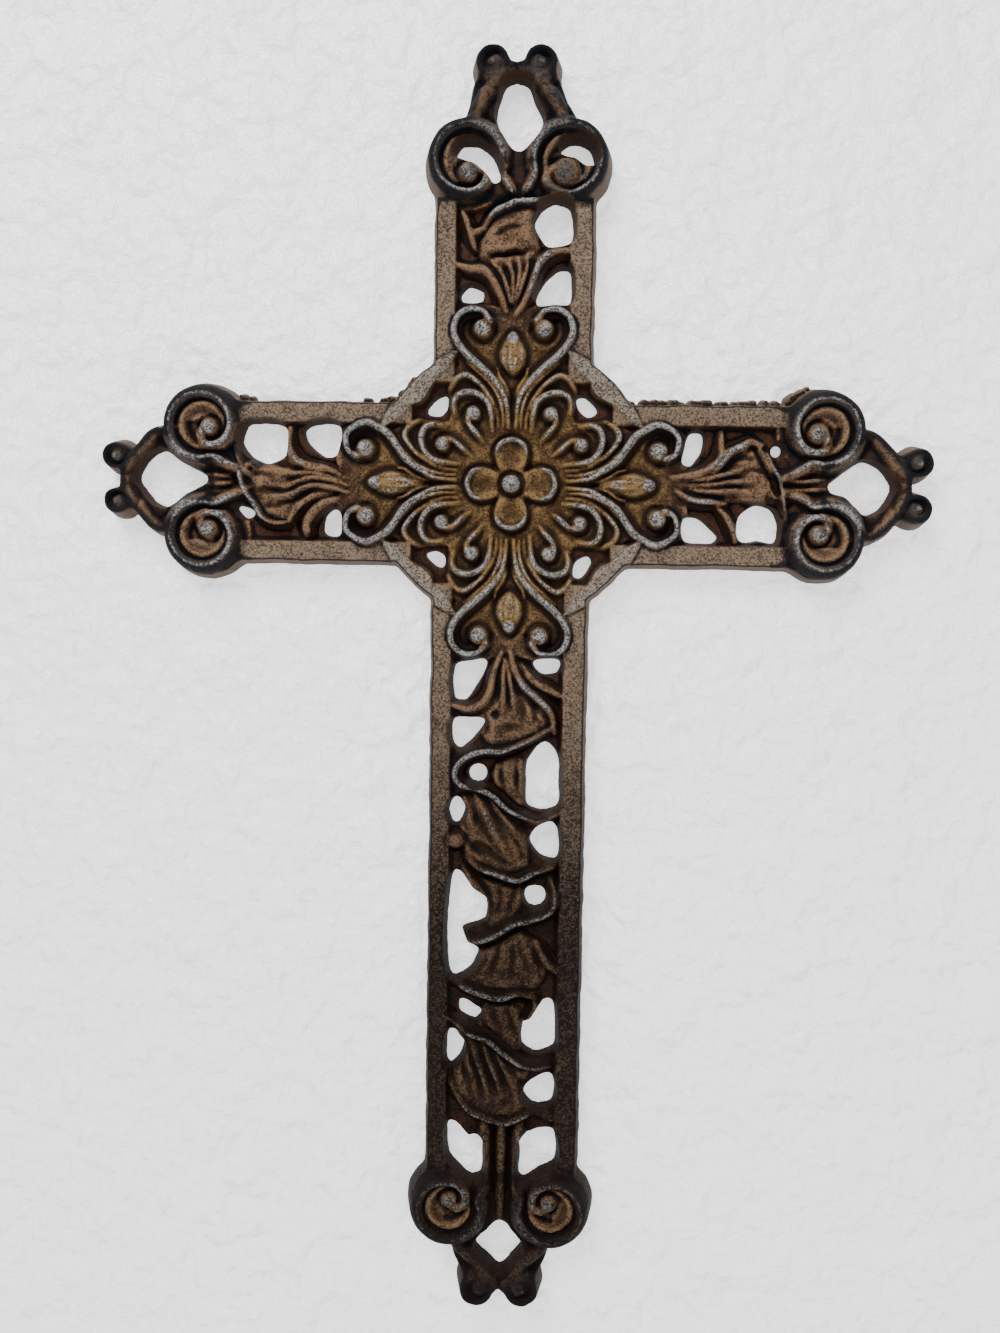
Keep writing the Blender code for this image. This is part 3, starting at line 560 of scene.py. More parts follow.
@dataclass
class Rosette:
    """Boss, four dished petals, four leaves on the axes and eight nests of crescents and scrolls.

    Every path is drawn in the half quarter beside the upper axis.

    Attributes:
        ground: level of the plate below the rosette.
        ground_edge: edge of that plate.
        petal: rim of a petal.
        short_leaf: leaf on the upright's axis, from its tip.
        long_leaf: leaf on the crossbar's axis, from its tip.
        sepal: strand beside a leaf.
        inner_crescent: inner crescent of a nest.
        outer_crescent: outer crescent.
        upright_scroll: large scroll toward the top and the foot.
        side_scroll: large scroll toward the sides.
        echo: strand that follows the large scroll on the inside.
        bud_tail: tail of the bud in the nest.
        bud: middle of that bud.
    """

    ground: float = 5.0
    ground_edge: Path = (
        (0.0, 40.5), (5.0, 42.0), (10.4, 42.2), (14.6, 39.0), (15.0, 35.0), (13.6, 31.4), (12.8, 28.0),
        (14.6, 25.6), (15.4, 22.4), (14.4, 18.0), (14.8, 14.8),
    )
    petal: Path = ((-3.3, 5.0), (-3.6, 7.2), (-2.7, 9.4), (0.0, 10.5), (2.7, 9.4), (3.6, 7.2), (3.3, 5.0))
    short_leaf: Path = ((0.0, 36.2), (2.0, 34.2), (3.4, 31.2), (3.0, 28.0), (0.0, 25.4))
    long_leaf: Path = ((0.0, 34.9), (2.2, 32.4), (3.1, 29.4), (2.4, 25.0), (0.0, 20.6))
    sepal: Path = ((0.6, 20.0), (1.6, 23.0), (3.2, 25.4), (3.6, 27.2))
    inner_crescent: Path = (
        (4.6, 12.4), (4.8, 14.4), (5.0, 16.4), (5.8, 19.1), (8.0, 21.0), (10.6, 21.6), (13.0, 20.8),
        (14.0, 18.9), (13.7, 16.4),
    )
    outer_crescent: Path = (
        (3.3, 13.2), (3.4, 15.6), (4.0, 18.2), (5.2, 20.4), (7.2, 22.9), (9.6, 25.0), (11.5, 25.6),
        (13.4, 24.6), (14.7, 22.4),
    )
    upright_scroll: Path = (
        (0.9, 13.4), (1.1, 16.4), (1.6, 19.4), (2.6, 21.8), (4.6, 24.4), (7.8, 27.4), (10.8, 30.0),
        (13.3, 33.0), (14.2, 36.2), (13.1, 39.2), (10.5, 40.8), (7.4, 40.4), (5.2, 38.2),
    )
    side_scroll: Path = (
        (0.9, 13.4), (1.1, 16.4), (1.7, 19.2), (3.4, 22.2), (5.8, 25.1), (8.9, 27.3), (11.6, 29.4),
        (13.2, 31.8), (14.3, 34.7), (13.0, 37.9), (10.8, 39.6), (7.5, 39.0), (5.9, 36.8),
    )
    echo: Path = ((2.1, 13.4), (2.2, 16.4), (3.0, 19.8), (5.0, 23.2), (8.2, 26.2), (10.9, 28.6))
    bud_tail: Path = ((6.6, 9.6), (8.0, 11.4), (9.6, 13.2), (10.6, 15.2), (10.2, 17.2))
    bud: Point = (9.2, 16.6)

    def carve(self, relief: Relief) -> None:
        """Carve the whole rosette.

        Args:
            relief: the relief to carve.
        """
        edge = self.ground_edge + tuple(reversed(swapped(self.ground_edge[:-1])))
        for quarter in QUARTERS:
            relief.plate(np.asarray(placed(((0.0, 0.0),) + edge, quarter)), self.ground, 3.0)
        for quarter in QUARTERS:
            scroll = self.upright_scroll if quarter in (0.0, 180.0) else self.side_scroll
            for mirror in (False, True):
                self.nest(relief, scroll, quarter, mirror)
        for quarter in QUARTERS:
            self.axis_leaf(relief, quarter)
            self.dished_petal(relief, quarter)
        relief.swelling(Swelling(0.0, 0.0, 4.6, 4.6, 5.8, foot=4.4, fullness=0.3))
        relief.swelling(Swelling(0.0, 0.0, 2.6, 2.6, 9.5, foot=4.0, fullness=0.6, gutter=1.2))

    def nest(self, relief: Relief, scroll: Path, quarter: float, mirror: bool) -> None:
        """Carve one eighth: a scroll, its echo, two crescents and a bud.

        Args:
            relief: the relief to carve.
            scroll: path of the large scroll.
            quarter: turn of the quarter in degrees.
            mirror: whether it is the quarter's other half.
        """
        left_hollow = Flank.HOLLOW if mirror else Flank.ROUND
        right_hollow = Flank.ROUND if mirror else Flank.HOLLOW
        bulb_x, bulb_y = scroll[-1][0] + 2.1, scroll[-1][1] - 1.8
        (x, y), = placed(((bulb_x + 1.4, bulb_y + 0.4),), quarter, mirror)
        relief.swelling(Swelling(x, y, 5.4, 5.4, 5.4, foot=3.8, fullness=0.4))
        relief.scoop(x, y, 4.2, 4.2, 0.7)
        for path, crest, half, gutter in (
            (self.outer_crescent, 7.2, 1.25, 0.35),
            (self.inner_crescent, 7.5, 1.3, 0.4),
            (self.echo, 7.2, 0.95, 0.3),
        ):
            relief.strand(Strand(placed(path, quarter, mirror), crest, half, half, 0.35, 0.6, foot=4.2,
                                 gutter=gutter))
        relief.strand(Strand(placed(scroll, quarter, mirror), 8.4, 1.7, 1.7, 0.3, 0.95, foot=4.2,
                             left_flank=left_hollow, right_flank=right_hollow, gutter=0.8))
        relief.strand(Strand(placed(scroll, quarter, mirror), 8.3, 1.35, 1.35, 0.3, 0.95, foot=4.2,
                             gutter=0.0))
        (x, y), = placed(((bulb_x, bulb_y),), quarter, mirror)
        relief.swelling(Swelling(x, y, 2.8, 2.8, 8.5, foot=4.0, fullness=0.7, gutter=0.7))
        relief.strand(Strand(placed(self.bud_tail, quarter, mirror), 7.2, 1.15, 1.15, 0.2, 1.0, foot=4.2))
        (x, y), = placed((self.bud,), quarter, mirror)
        relief.swelling(Swelling(x, y, 2.2, 2.2, 8.1, foot=4.0, fullness=0.7, gutter=0.6))

    def axis_leaf(self, relief: Relief, quarter: float) -> None:
        """Carve a pointed leaf on an axis: a ribbed body between two sepals, with a rubbed tip.

        Args:
            relief: the relief to carve.
            quarter: turn of the quarter in degrees.
        """
        leaf = self.short_leaf if quarter in (0.0, 180.0) else self.long_leaf
        outline = leaf + tuple((-x, y) for x, y in reversed(leaf[1:-1]))
        area, off, _, _ = relief.along(rounded_outline(placed(outline, quarter)), 2.0)
        relief.height[area] -= 0.8 * np.exp(-((off - 0.4) / 0.7) ** 2)
        relief.pillow(placed(outline, quarter), 7.7, 3.3, 4.4)
        tip = leaf[0][1] - 2.8
        for side in (-1.0, 0.0, 1.0):
            rib = ((0.5 * side, leaf[-1][1]), (1.5 * side, 0.5 * (tip + leaf[-1][1])), (0.9 * side, tip))
            relief.score(placed(rib, quarter), 0.45, 0.3)
        (x, y), = placed(((0.0, tip + 0.3),), quarter)
        relief.swelling(Swelling(x, y, 1.7, 2.2, 8.2, quarter, foot=5.0))
        for mirror in (False, True):
            relief.strand(Strand(placed(self.sepal, quarter, mirror), 6.6, 0.8, 0.8, 0.4, 0.5, foot=4.2,
                                 gutter=0.3))

    def dished_petal(self, relief: Relief, quarter: float) -> None:
        """Carve a petal beside the boss: a thin rim round a hollow.

        Args:
            relief: the relief to carve.
            quarter: turn of the quarter in degrees.
        """
        area, off, _, _ = relief.along(smooth_path(placed(self.petal, quarter)), 3.0)
        relief.height[area] -= 1.1 * np.exp(-((off - 0.9) / 0.7) ** 2)
        (x, y), = placed(((0.0, 6.2),), quarter)
        relief.swelling(Swelling(x, y, 3.9, 4.4, 6.8, quarter, foot=4.4, fullness=0.35))
        relief.scoop(x, y, 3.3, 3.9, 1.7, quarter)
        relief.strand(Strand(placed(self.petal, quarter), 7.9, 0.85, 0.85, 0.1, 0.1, foot=4.8, gutter=0.0))


@dataclass(frozen=True)
class Scroll:
    """Scroll of a terminal: where its rolled edge starts, how it winds and its eye.

    Attributes:
        x: middle across the wall.
        y: middle up the wall.
        start: angle at which the rolled edge starts.
        turn: degrees through which it winds, against the clock when positive.
        eye_x: eye across the wall.
        eye_y: eye up the wall.
        eye: radius of the eye.
        stem: points that lead up to the rolled edge.
        tight: power by which the winding draws in late.
        pale: share of the pale finish in its channel.
    """

    x: float
    y: float
    start: float
    turn: float
    eye_x: float
    eye_y: float
    eye: float
    stem: Path
    tight: float = 3.0
    pale: float = 0.45

    def spiral(self, outer: float, inner: float, whole: float = 1.0, knots: int = 21) -> Path:
        """Points of a spiral round the scroll.

        Args:
            outer: radius at its start.
            inner: radius at its end, about the eye.
            whole: share of the full turn that it makes.
            knots: number of points.

        Returns:
            The points.
        """
        path = []
        for step in range(knots):
            share = whole * step / (knots - 1)
            drift = share ** self.tight
            reach = outer - (outer - inner) * drift
            angle = math.radians(self.start + self.turn * share)
            path.append((self.x + (self.eye_x - self.x) * drift + reach * math.cos(angle),
                         self.y + (self.eye_y - self.y) * drift + reach * math.sin(angle)))
        return tuple(path)


@dataclass
class Terminals:
    """Four ends: two scrolls each, and beyond them two knobs on rolled legs.

    Attributes:
        crest: level of the rolled edges.
        crest_radius: radius at which a rolled edge starts.
        scrolls: the eight scrolls.
        knobs: middle and radius of the eight knobs.
        legs: paths from the scrolls to the knobs.
        leg_half: reach of a leg's flanks.
        leg_crest: level of a leg's crest.
        plate_level: level of the plates below knobs and legs.
        crowns: outlines of those plates.
    """

    crest: float = 9.0
    crest_radius: float = 7.9
    scrolls: tuple[Scroll, ...] = (
        Scroll(-11.2, 75.0, -20.0, 392.0, -11.0, 72.2, 3.0, ((-0.8, 67.6), (-2.2, 70.0)), 4.6, 0.2),
        Scroll(12.2, 75.0, 200.0, -392.0, 11.7, 72.2, 4.0, ((2.6, 67.6), (3.8, 70.0)), 4.6, 0.2),
        Scroll(-13.1, -179.2, 20.0, -430.0, -12.8, -177.6, 2.4, ((-4.4, -160.0), (-4.6, -168.0),
            (-4.7, -173.4)), pale=0.85),
        Scroll(12.7, -179.3, 160.0, 430.0, 12.0, -177.9, 2.4, ((4.4, -160.0), (4.6, -168.0),
            (4.7, -173.4)), pale=0.85),
        Scroll(-74.0, 13.2, -70.0, -430.0, -72.6, 12.6, 2.6, ((-63.8, 2.6), (-67.4, 4.0))),
        Scroll(-73.8, -13.0, 70.0, 430.0, -72.9, -11.6, 2.8, ((-63.8, -2.4), (-67.4, -3.8))),
        Scroll(73.7, 13.3, -110.0, 430.0, 72.4, 12.4, 3.0, ((64.6, 2.4), (68.4, 4.4))),
        Scroll(74.4, -12.2, 110.0, -430.0, 73.2, -11.0, 2.8, ((65.0, -1.7), (69.0, -3.0))),
    )
    knobs: tuple[tuple[float, float, float], ...] = (
        (-5.7, 97.1, 5.2), (5.6, 96.9, 5.2), (-5.6, -200.0, 5.7), (5.6, -200.0, 5.7), (-95.0, 5.6, 4.6),
        (-94.8, -5.2, 4.6), (95.9, 5.9, 4.9), (95.8, -4.9, 4.9),
    )
    legs: tuple[Path, ...] = (
        ((-9.8, 82.6), (-8.8, 87.4), (-6.2, 92.0), (-3.0, 95.0), (0.0, 96.6)),
        ((11.2, 82.6), (9.8, 87.4), (6.8, 92.0), (3.4, 95.0), (0.0, 96.6)),
        ((-11.4, -188.6), (-8.4, -191.4), (-5.2, -194.6), (-2.2, -197.8), (0.0, -199.6)),
        ((11.4, -188.6), (8.4, -191.4), (5.2, -194.6), (2.2, -197.8), (0.0, -199.6)),
        ((-81.5, 12.6), (-85.4, 11.6), (-88.4, 8.6), (-91.2, 5.2), (-93.0, 2.4), (-93.6, 0.2)),
        ((-81.5, -12.4), (-85.6, -11.0), (-88.6, -8.4), (-91.2, -5.0), (-93.0, -2.2), (-93.6, 0.2)),
        ((82.0, 13.0), (85.6, 12.0), (88.4, 9.0), (90.8, 5.8), (93.0, 2.8), (94.2, 0.4)),
        ((82.0, -12.4), (86.0, -11.2), (89.2, -8.4), (91.6, -5.0), (93.2, -2.0), (94.2, 0.4)),
    )
    leg_half: float = 2.3
    leg_crest: float = 7.6
    plate_level: float = 5.0
    crowns: tuple[Path, ...] = (
        ((-14.0, 80.0), (-13.0, 85.4), (-11.8, 89.0), (-11.0, 93.0), (-8.6, 97.6), (0.0, 98.6),
         (8.6, 97.6), (11.2, 93.0), (12.6, 89.4), (14.8, 86.0), (16.0, 80.0), (8.0, 73.0), (-7.0, 73.0)),
        ((-13.0, -184.0), (-13.0, -190.6), (-11.8, -194.4), (-9.0, -200.0), (0.0, -202.6), (9.0, -200.0),
         (11.8, -194.4), (13.0, -190.6), (13.0, -184.0), (7.0, -177.0), (-7.0, -177.0)),
        ((-80.0, 12.4), (-85.0, 13.9), (-88.4, 12.6), (-91.0, 9.6), (-95.0, 5.0), (-95.8, 0.2),
         (-95.0, -4.8), (-90.8, -9.6), (-88.2, -12.3), (-84.8, -13.8), (-80.0, -12.0), (-71.0, -5.0),
         (-71.0, 5.0)),
        ((80.0, 12.4), (84.2, 14.8), (87.4, 13.6), (90.8, 10.6), (95.2, 5.2), (96.0, 0.4), (95.2, -4.6),
         (90.8, -11.0), (87.0, -13.4), (84.4, -14.0), (80.0, -12.4), (72.0, -5.0), (72.0, 5.0)),
    )

    def outline(self, relief: Relief) -> None:
        """Join scrolls, knobs and crown plates to the outside outline.

        Args:
            relief: the relief to draw on.
        """
        x, y = relief.grid_x, relief.grid_y
        for crown in self.crowns:
            area, inside = relief.within(rounded_outline(crown), 9.0)
            relief.add_outline(inside, area)
        for scroll in self.scrolls:
            relief.add_outline(SCROLL_RADIUS - np.hypot(x - scroll.x, y - scroll.y))
        for knob_x, knob_y, radius in self.knobs:
            relief.add_outline(radius - np.hypot(x - knob_x, y - knob_y))

    def carve(self, relief: Relief) -> None:
        """Carve plates, legs, knobs and scrolls.

        Args:
            relief: the relief to carve.
        """
        for crown in self.crowns:
            relief.plate(rounded_outline(crown), self.plate_level, 2.0)
        for path in self.legs:
            relief.strand(Strand(path, self.leg_crest, self.leg_half, self.leg_half, 1.0, 1.0, foot=4.0,
                                 gutter=0.2, fullness=0.9))
        for x, y, radius in self.knobs:
            self.knob(relief, x, y, radius)
        for scroll in self.scrolls:
            self.roll(relief, scroll)

    def knob(self, relief: Relief, x: float, y: float, radius: float) -> None:
        """Carve a round knob: a rolled rim that winds in to a small bulb.

        Args:
            relief: the relief to carve.
            x: its middle across the wall.
            y: its middle up the wall.
            radius: its radius.
        """
        relief.swelling(Swelling(x, y, radius, radius, 6.6, foot=3.4, fullness=0.45, gutter=0.5))
        sideways = abs(x) > abs(y)
        start = math.degrees(math.atan2(-y, -x)) if sideways else (180.0 if x > 0.0 else 0.0)
        turn = 400.0 if (x * y > 0.0) == sideways else -400.0
        curl = []
        for share in np.linspace(0.0, 1.0, 17):
            reach = radius * (0.68 - 0.42 * share ** 2)
            angle = math.radians(start + turn * share)
            curl.append((x + reach * math.cos(angle), y + reach * math.sin(angle)))
        relief.strand(Strand(tuple(curl), 8.2, 0.38 * radius, 0.38 * radius, 0.8, 0.9, foot=5.2, gutter=0.3,
                             fullness=0.8))
        relief.swelling(Swelling(x, y, 0.36 * radius, 0.36 * radius, 8.2, foot=4.6, gutter=0.6))

    def roll(self, relief: Relief, scroll: Scroll) -> None:
        """Carve the dished plate, rolled edge, inner thread and eye of a scroll.

        Args:
            relief: the relief to carve.
            scroll: the scroll.
        """
        disc = rounded_outline(tuple((scroll.x + SCROLL_RADIUS * math.cos(math.radians(angle)),
                                      scroll.y + SCROLL_RADIUS * math.sin(math.radians(angle)))
                                     for angle in range(0, 360, 20)), 2)
        relief.plate(disc, 5.2, 3.0)
        rim = scroll.stem + scroll.spiral(self.crest_radius, 0.75 * scroll.eye)
        left_out = scroll.turn < 0.0
        relief.strand(Strand(rim, self.crest, 3.1 if left_out else 2.8, 2.8 if left_out else 3.1, 0.55, 0.7,
                             left_flank=Flank.ROUND if left_out else Flank.HOLLOW,
                             right_flank=Flank.HOLLOW if left_out else Flank.ROUND, foot=4.2, gutter=0.5,
                             fullness=0.9))
        relief.strand(Strand(rim, self.crest - 0.1, 1.6, 1.6, 0.55, 0.7, foot=4.6, gutter=0.0))
        area = relief.window(np.array([[scroll.x, scroll.y]]), self.crest_radius)
        reach = np.hypot(relief.grid_x[area] - scroll.x, relief.grid_y[area] - scroll.y)
        inside = np.clip((self.crest_radius - 0.8 - reach) / 1.2, 0.0, 1.0)
        relief.zone("channel", area, scroll.pale * inside)
        thread = scroll.spiral(self.crest_radius - 2.5, 0.5 * scroll.eye, 0.78)
        relief.strand(Strand(thread, 7.2, 1.5, 1.5, 0.6, 0.2, foot=4.4, gutter=0.5, fullness=1.0))
        relief.swelling(Swelling(scroll.eye_x, scroll.eye_y, scroll.eye, scroll.eye, 8.5, foot=4.4,
                                 fullness=0.6, gutter=0.7))


@dataclass(frozen=True)
class Leaf:
    """Leaf or husk: its body, its strands, its fine folds and the rolled lip over its end.

    Attributes:
        body: outline of the body.
        crest: level of the body's middle.
        strands: path, crest level and half width of each strand.
        folds: paths of the fine folds.
        hollows: middle, half sizes, depth and turn of each hollow.
        lip: path of the rolled lip.
        lip_height: level of the lip's crest.
        lip_rolls_left: whether the lip's hollow side lies on the left of its path.
        seen: whether the paths are given as they show in the front view.
    """

    body: Path
    crest: float = 6.5
    strands: tuple[tuple[Path, float, float], ...] = ()
    folds: tuple[Path, ...] = ()
    hollows: tuple[tuple[float, float, float, float, float, float], ...] = ()
    lip: Path = ()
    lip_height: float = 8.2
    lip_rolls_left: bool = True
    seen: bool = False


@dataclass
class Carving:
    """Acanthus carving of the four arms, given as it shows in the front view or as it lies on the casting.

    Attributes:
        upper_leaf: leaf of the upper arm.
        left_leaf: leaf of the left arm.
        right_leaf: leaf of the right arm.
        husks: husks of the lower arm, from the rosette down.
        foot_lip: lip over the lowest husk.
        stem_ribs: places of the ribs of the stem below it.
        body_edge: width of the rounded border of a leaf's body.
        spread: share by which a strand is wider than its half width.
        fold_depth: depth of a fine fold.
        fold_half: half its width.
        lip_hollow: reach of a lip's flank on its hollow side.
        lip_steep: reach on its other side.
    """

    upper_leaf: Leaf = Leaf(
        body=((-0.9, 40.6), (-2.4, 45.4), (-4.4, 49.8), (-8.3, 52.4), (-9.2, 57.6), (-6.4, 62.6),
            (-2.0, 65.4), (4.4, 66.0), (5.4, 61.0), (5.8, 57.4), (7.2, 53.8), (4.6, 49.6), (3.4, 45.4),
            (1.0, 40.6)),
        strands=((((-13.6, 51.9), (-10.6, 50.9), (-7.1, 50.4), (-4.9, 48.2), (-3.2, 44.9), (-1.8, 41.0)),
            7.2, 1.5), (((-12.6, 64.2), (-11.4, 61.6), (-10.4, 58.4), (-9.6, 55.6)), 7.2, 1.2),
            (((-10.0, 58.8), (-7.6, 60.5)), 7.0, 1.1), (((13.8, 55.3), (10.5, 55.0), (8.3, 54.2),
            (6.4, 52.6), (4.9, 49.8), (3.9, 46.4), (2.2, 43.0), (0.4, 40.2)), 7.9, 1.5), (((3.2, 54.0),
            (2.8, 50.6), (1.8, 46.8), (0.4, 42.6)), 7.5, 0.9), (((0.8, 54.2), (1.2, 50.4), (0.8, 46.6),
            (0.1, 43.0)), 7.6, 0.85), (((-1.8, 53.4), (-0.6, 49.8), (-0.3, 46.4), (-0.3, 43.0)), 7.5,
            0.85), (((-5.6, 52.4), (-3.4, 50.2), (-1.8, 46.8), (-0.9, 43.2)), 7.3, 0.9)),
        folds=(((-8.0, 54.4), (-6.4, 53.4), (-4.2, 54.2), (-2.4, 53.8), (-0.6, 54.8), (1.6, 54.4),
            (3.6, 55.6), (6.6, 55.2)), ((-7.6, 54.8), (-5.2, 54.0), (-2.0, 54.6), (2.0, 55.0)),
            ((-4.6, 58.4), (-1.6, 60.4), (2.2, 60.8))),
        hollows=((8.9, 58.4, 2.0, 1.0, 1.2, 0.0), (-1.0, 53.8, 4.6, 1.0, 0.7, 8.0)),
        lip=((-7.4, 60.2), (-6.0, 62.6), (-4.0, 64.2), (-1.6, 65.2), (0.6, 66.2), (3.2, 66.2),
            (5.8, 66.6), (8.9, 68.0)),
        lip_height=8.4,
        lip_rolls_left=False,
        seen=True,
    )
    left_leaf: Leaf = Leaf(
        body=((-65.4, 6.2), (-62.0, 4.2), (-57.0, 5.2), (-53.4, 7.4), (-50.0, 4.2), (-44.0, 2.8),
            (-39.6, 0.6), (-39.6, -2.4), (-44.0, -3.6), (-48.6, -4.6), (-52.0, -7.6), (-55.0, -10.0),
            (-59.4, -9.2), (-62.2, -6.0), (-64.2, -1.6), (-65.6, 2.0)),
        strands=((((-53.7, 12.9), (-53.9, 8.6), (-52.4, 5.7), (-50.3, 4.3), (-47.6, 3.5), (-44.0, 2.9),
            (-40.6, 1.2)), 7.6, 1.5), (((-57.0, 3.2), (-53.0, 2.0), (-49.4, 2.3), (-45.6, 2.0),
            (-41.2, 0.6)), 7.2, 0.9), (((-59.0, -0.4), (-54.8, -1.3), (-51.7, 0.0), (-48.0, 1.0),
            (-43.5, 0.5), (-39.6, -0.7)), 7.5, 1.0), (((-59.6, -3.6), (-53.9, -3.1), (-50.3, -1.4),
            (-47.1, -0.8), (-42.6, -1.5), (-39.6, -2.3)), 7.4, 1.0), (((-53.9, -9.2), (-51.7, -6.2),
            (-48.0, -3.5), (-43.6, -2.6)), 7.3, 1.3), (((-49.6, -13.0), (-50.0, -11.0), (-48.4, -7.8),
            (-45.8, -5.2), (-42.0, -3.8)), 7.2, 1.5), (((-65.2, 3.0), (-63.2, 4.3), (-62.0, 3.2)), 7.4,
            0.9)),
        folds=(((-63.4, 1.6), (-60.4, 2.0), (-56.6, 1.2)), ((-62.4, -2.2), (-58.6, -1.8), (-55.6, -2.2)),
            ((-60.4, -5.8), (-56.8, -5.6), (-52.6, -4.4))),
        hollows=((-55.4, 4.2, 3.2, 1.2, 1.3, -12.0), (-51.2, -10.6, 1.2, 1.8, 1.4, 0.0)),
        lip=((-67.0, 8.6), (-66.2, 6.1), (-65.3, 3.8), (-65.7, 1.5), (-65.0, -0.7), (-63.9, -3.0),
            (-62.5, -4.8), (-61.4, -6.6), (-60.4, -8.4), (-58.0, -9.8), (-54.6, -10.0)),
        lip_height=8.1,
        seen=True,
    )
    right_leaf: Leaf = Leaf(
        body=((38.6, 2.2), (45.0, 3.2), (49.6, 5.4), (52.4, 8.6), (56.6, 10.6), (59.6, 8.4), (61.8, 4.2),
            (63.4, 0.2), (63.6, -3.0), (60.0, -4.0), (55.0, -3.6), (50.6, -4.0), (45.0, -3.8),
            (39.4, -1.2)),
        strands=((((49.9, 12.9), (50.0, 8.2), (48.4, 5.4), (46.0, 3.6), (43.1, 2.7), (38.6, 2.2)), 7.6,
            1.4), (((59.6, 10.0), (56.8, 10.8), (54.7, 9.6), (52.75, 8.8), (50.8, 6.9), (48.9, 4.2),
            (45.5, 2.5)), 7.8, 1.5), (((57.4, 4.6), (52.0, 3.2), (47.0, 1.9), (41.6, 1.4)), 7.4, 0.95),
            (((58.4, 1.6), (53.2, 1.2), (48.0, 0.4), (42.0, 0.4)), 7.5, 0.95), (((57.6, -1.2),
            (52.6, -0.9), (47.6, -1.2), (42.6, -0.8)), 7.4, 0.95), (((51.4, -4.0), (48.4, -3.7),
            (44.6, -3.5), (41.7, -2.5), (39.4, -0.6)), 7.7, 1.2), (((49.6, -4.9), (51.3, -6.6),
            (52.5, -8.7), (53.2, -10.4), (54.0, -12.9)), 7.2, 1.2), (((58.6, 10.0), (60.0, 7.4),
            (61.2, 5.0), (61.9, 2.8)), 7.4, 0.9), (((60.9, 8.4), (62.35, 4.5), (63.8, 2.1), (64.3, 0.1),
            (64.75, -1.8), (65.2, -4.7), (66.4, -8.0)), 7.8, 0.95), (((62.2, -0.6), (62.8, -2.6),
            (64.4, -2.2)), 7.4, 0.8)),
        folds=(((51.6, 5.2), (55.0, 6.8), (58.6, 6.6)), ((54.0, 3.4), (57.6, 4.2), (60.6, 3.2))),
        hollows=((45.4, 6.8, 1.2, 1.4, 1.0, 0.0), (57.0, -4.4, 2.6, 0.9, 1.0, 0.0)),
        seen=True,
    )
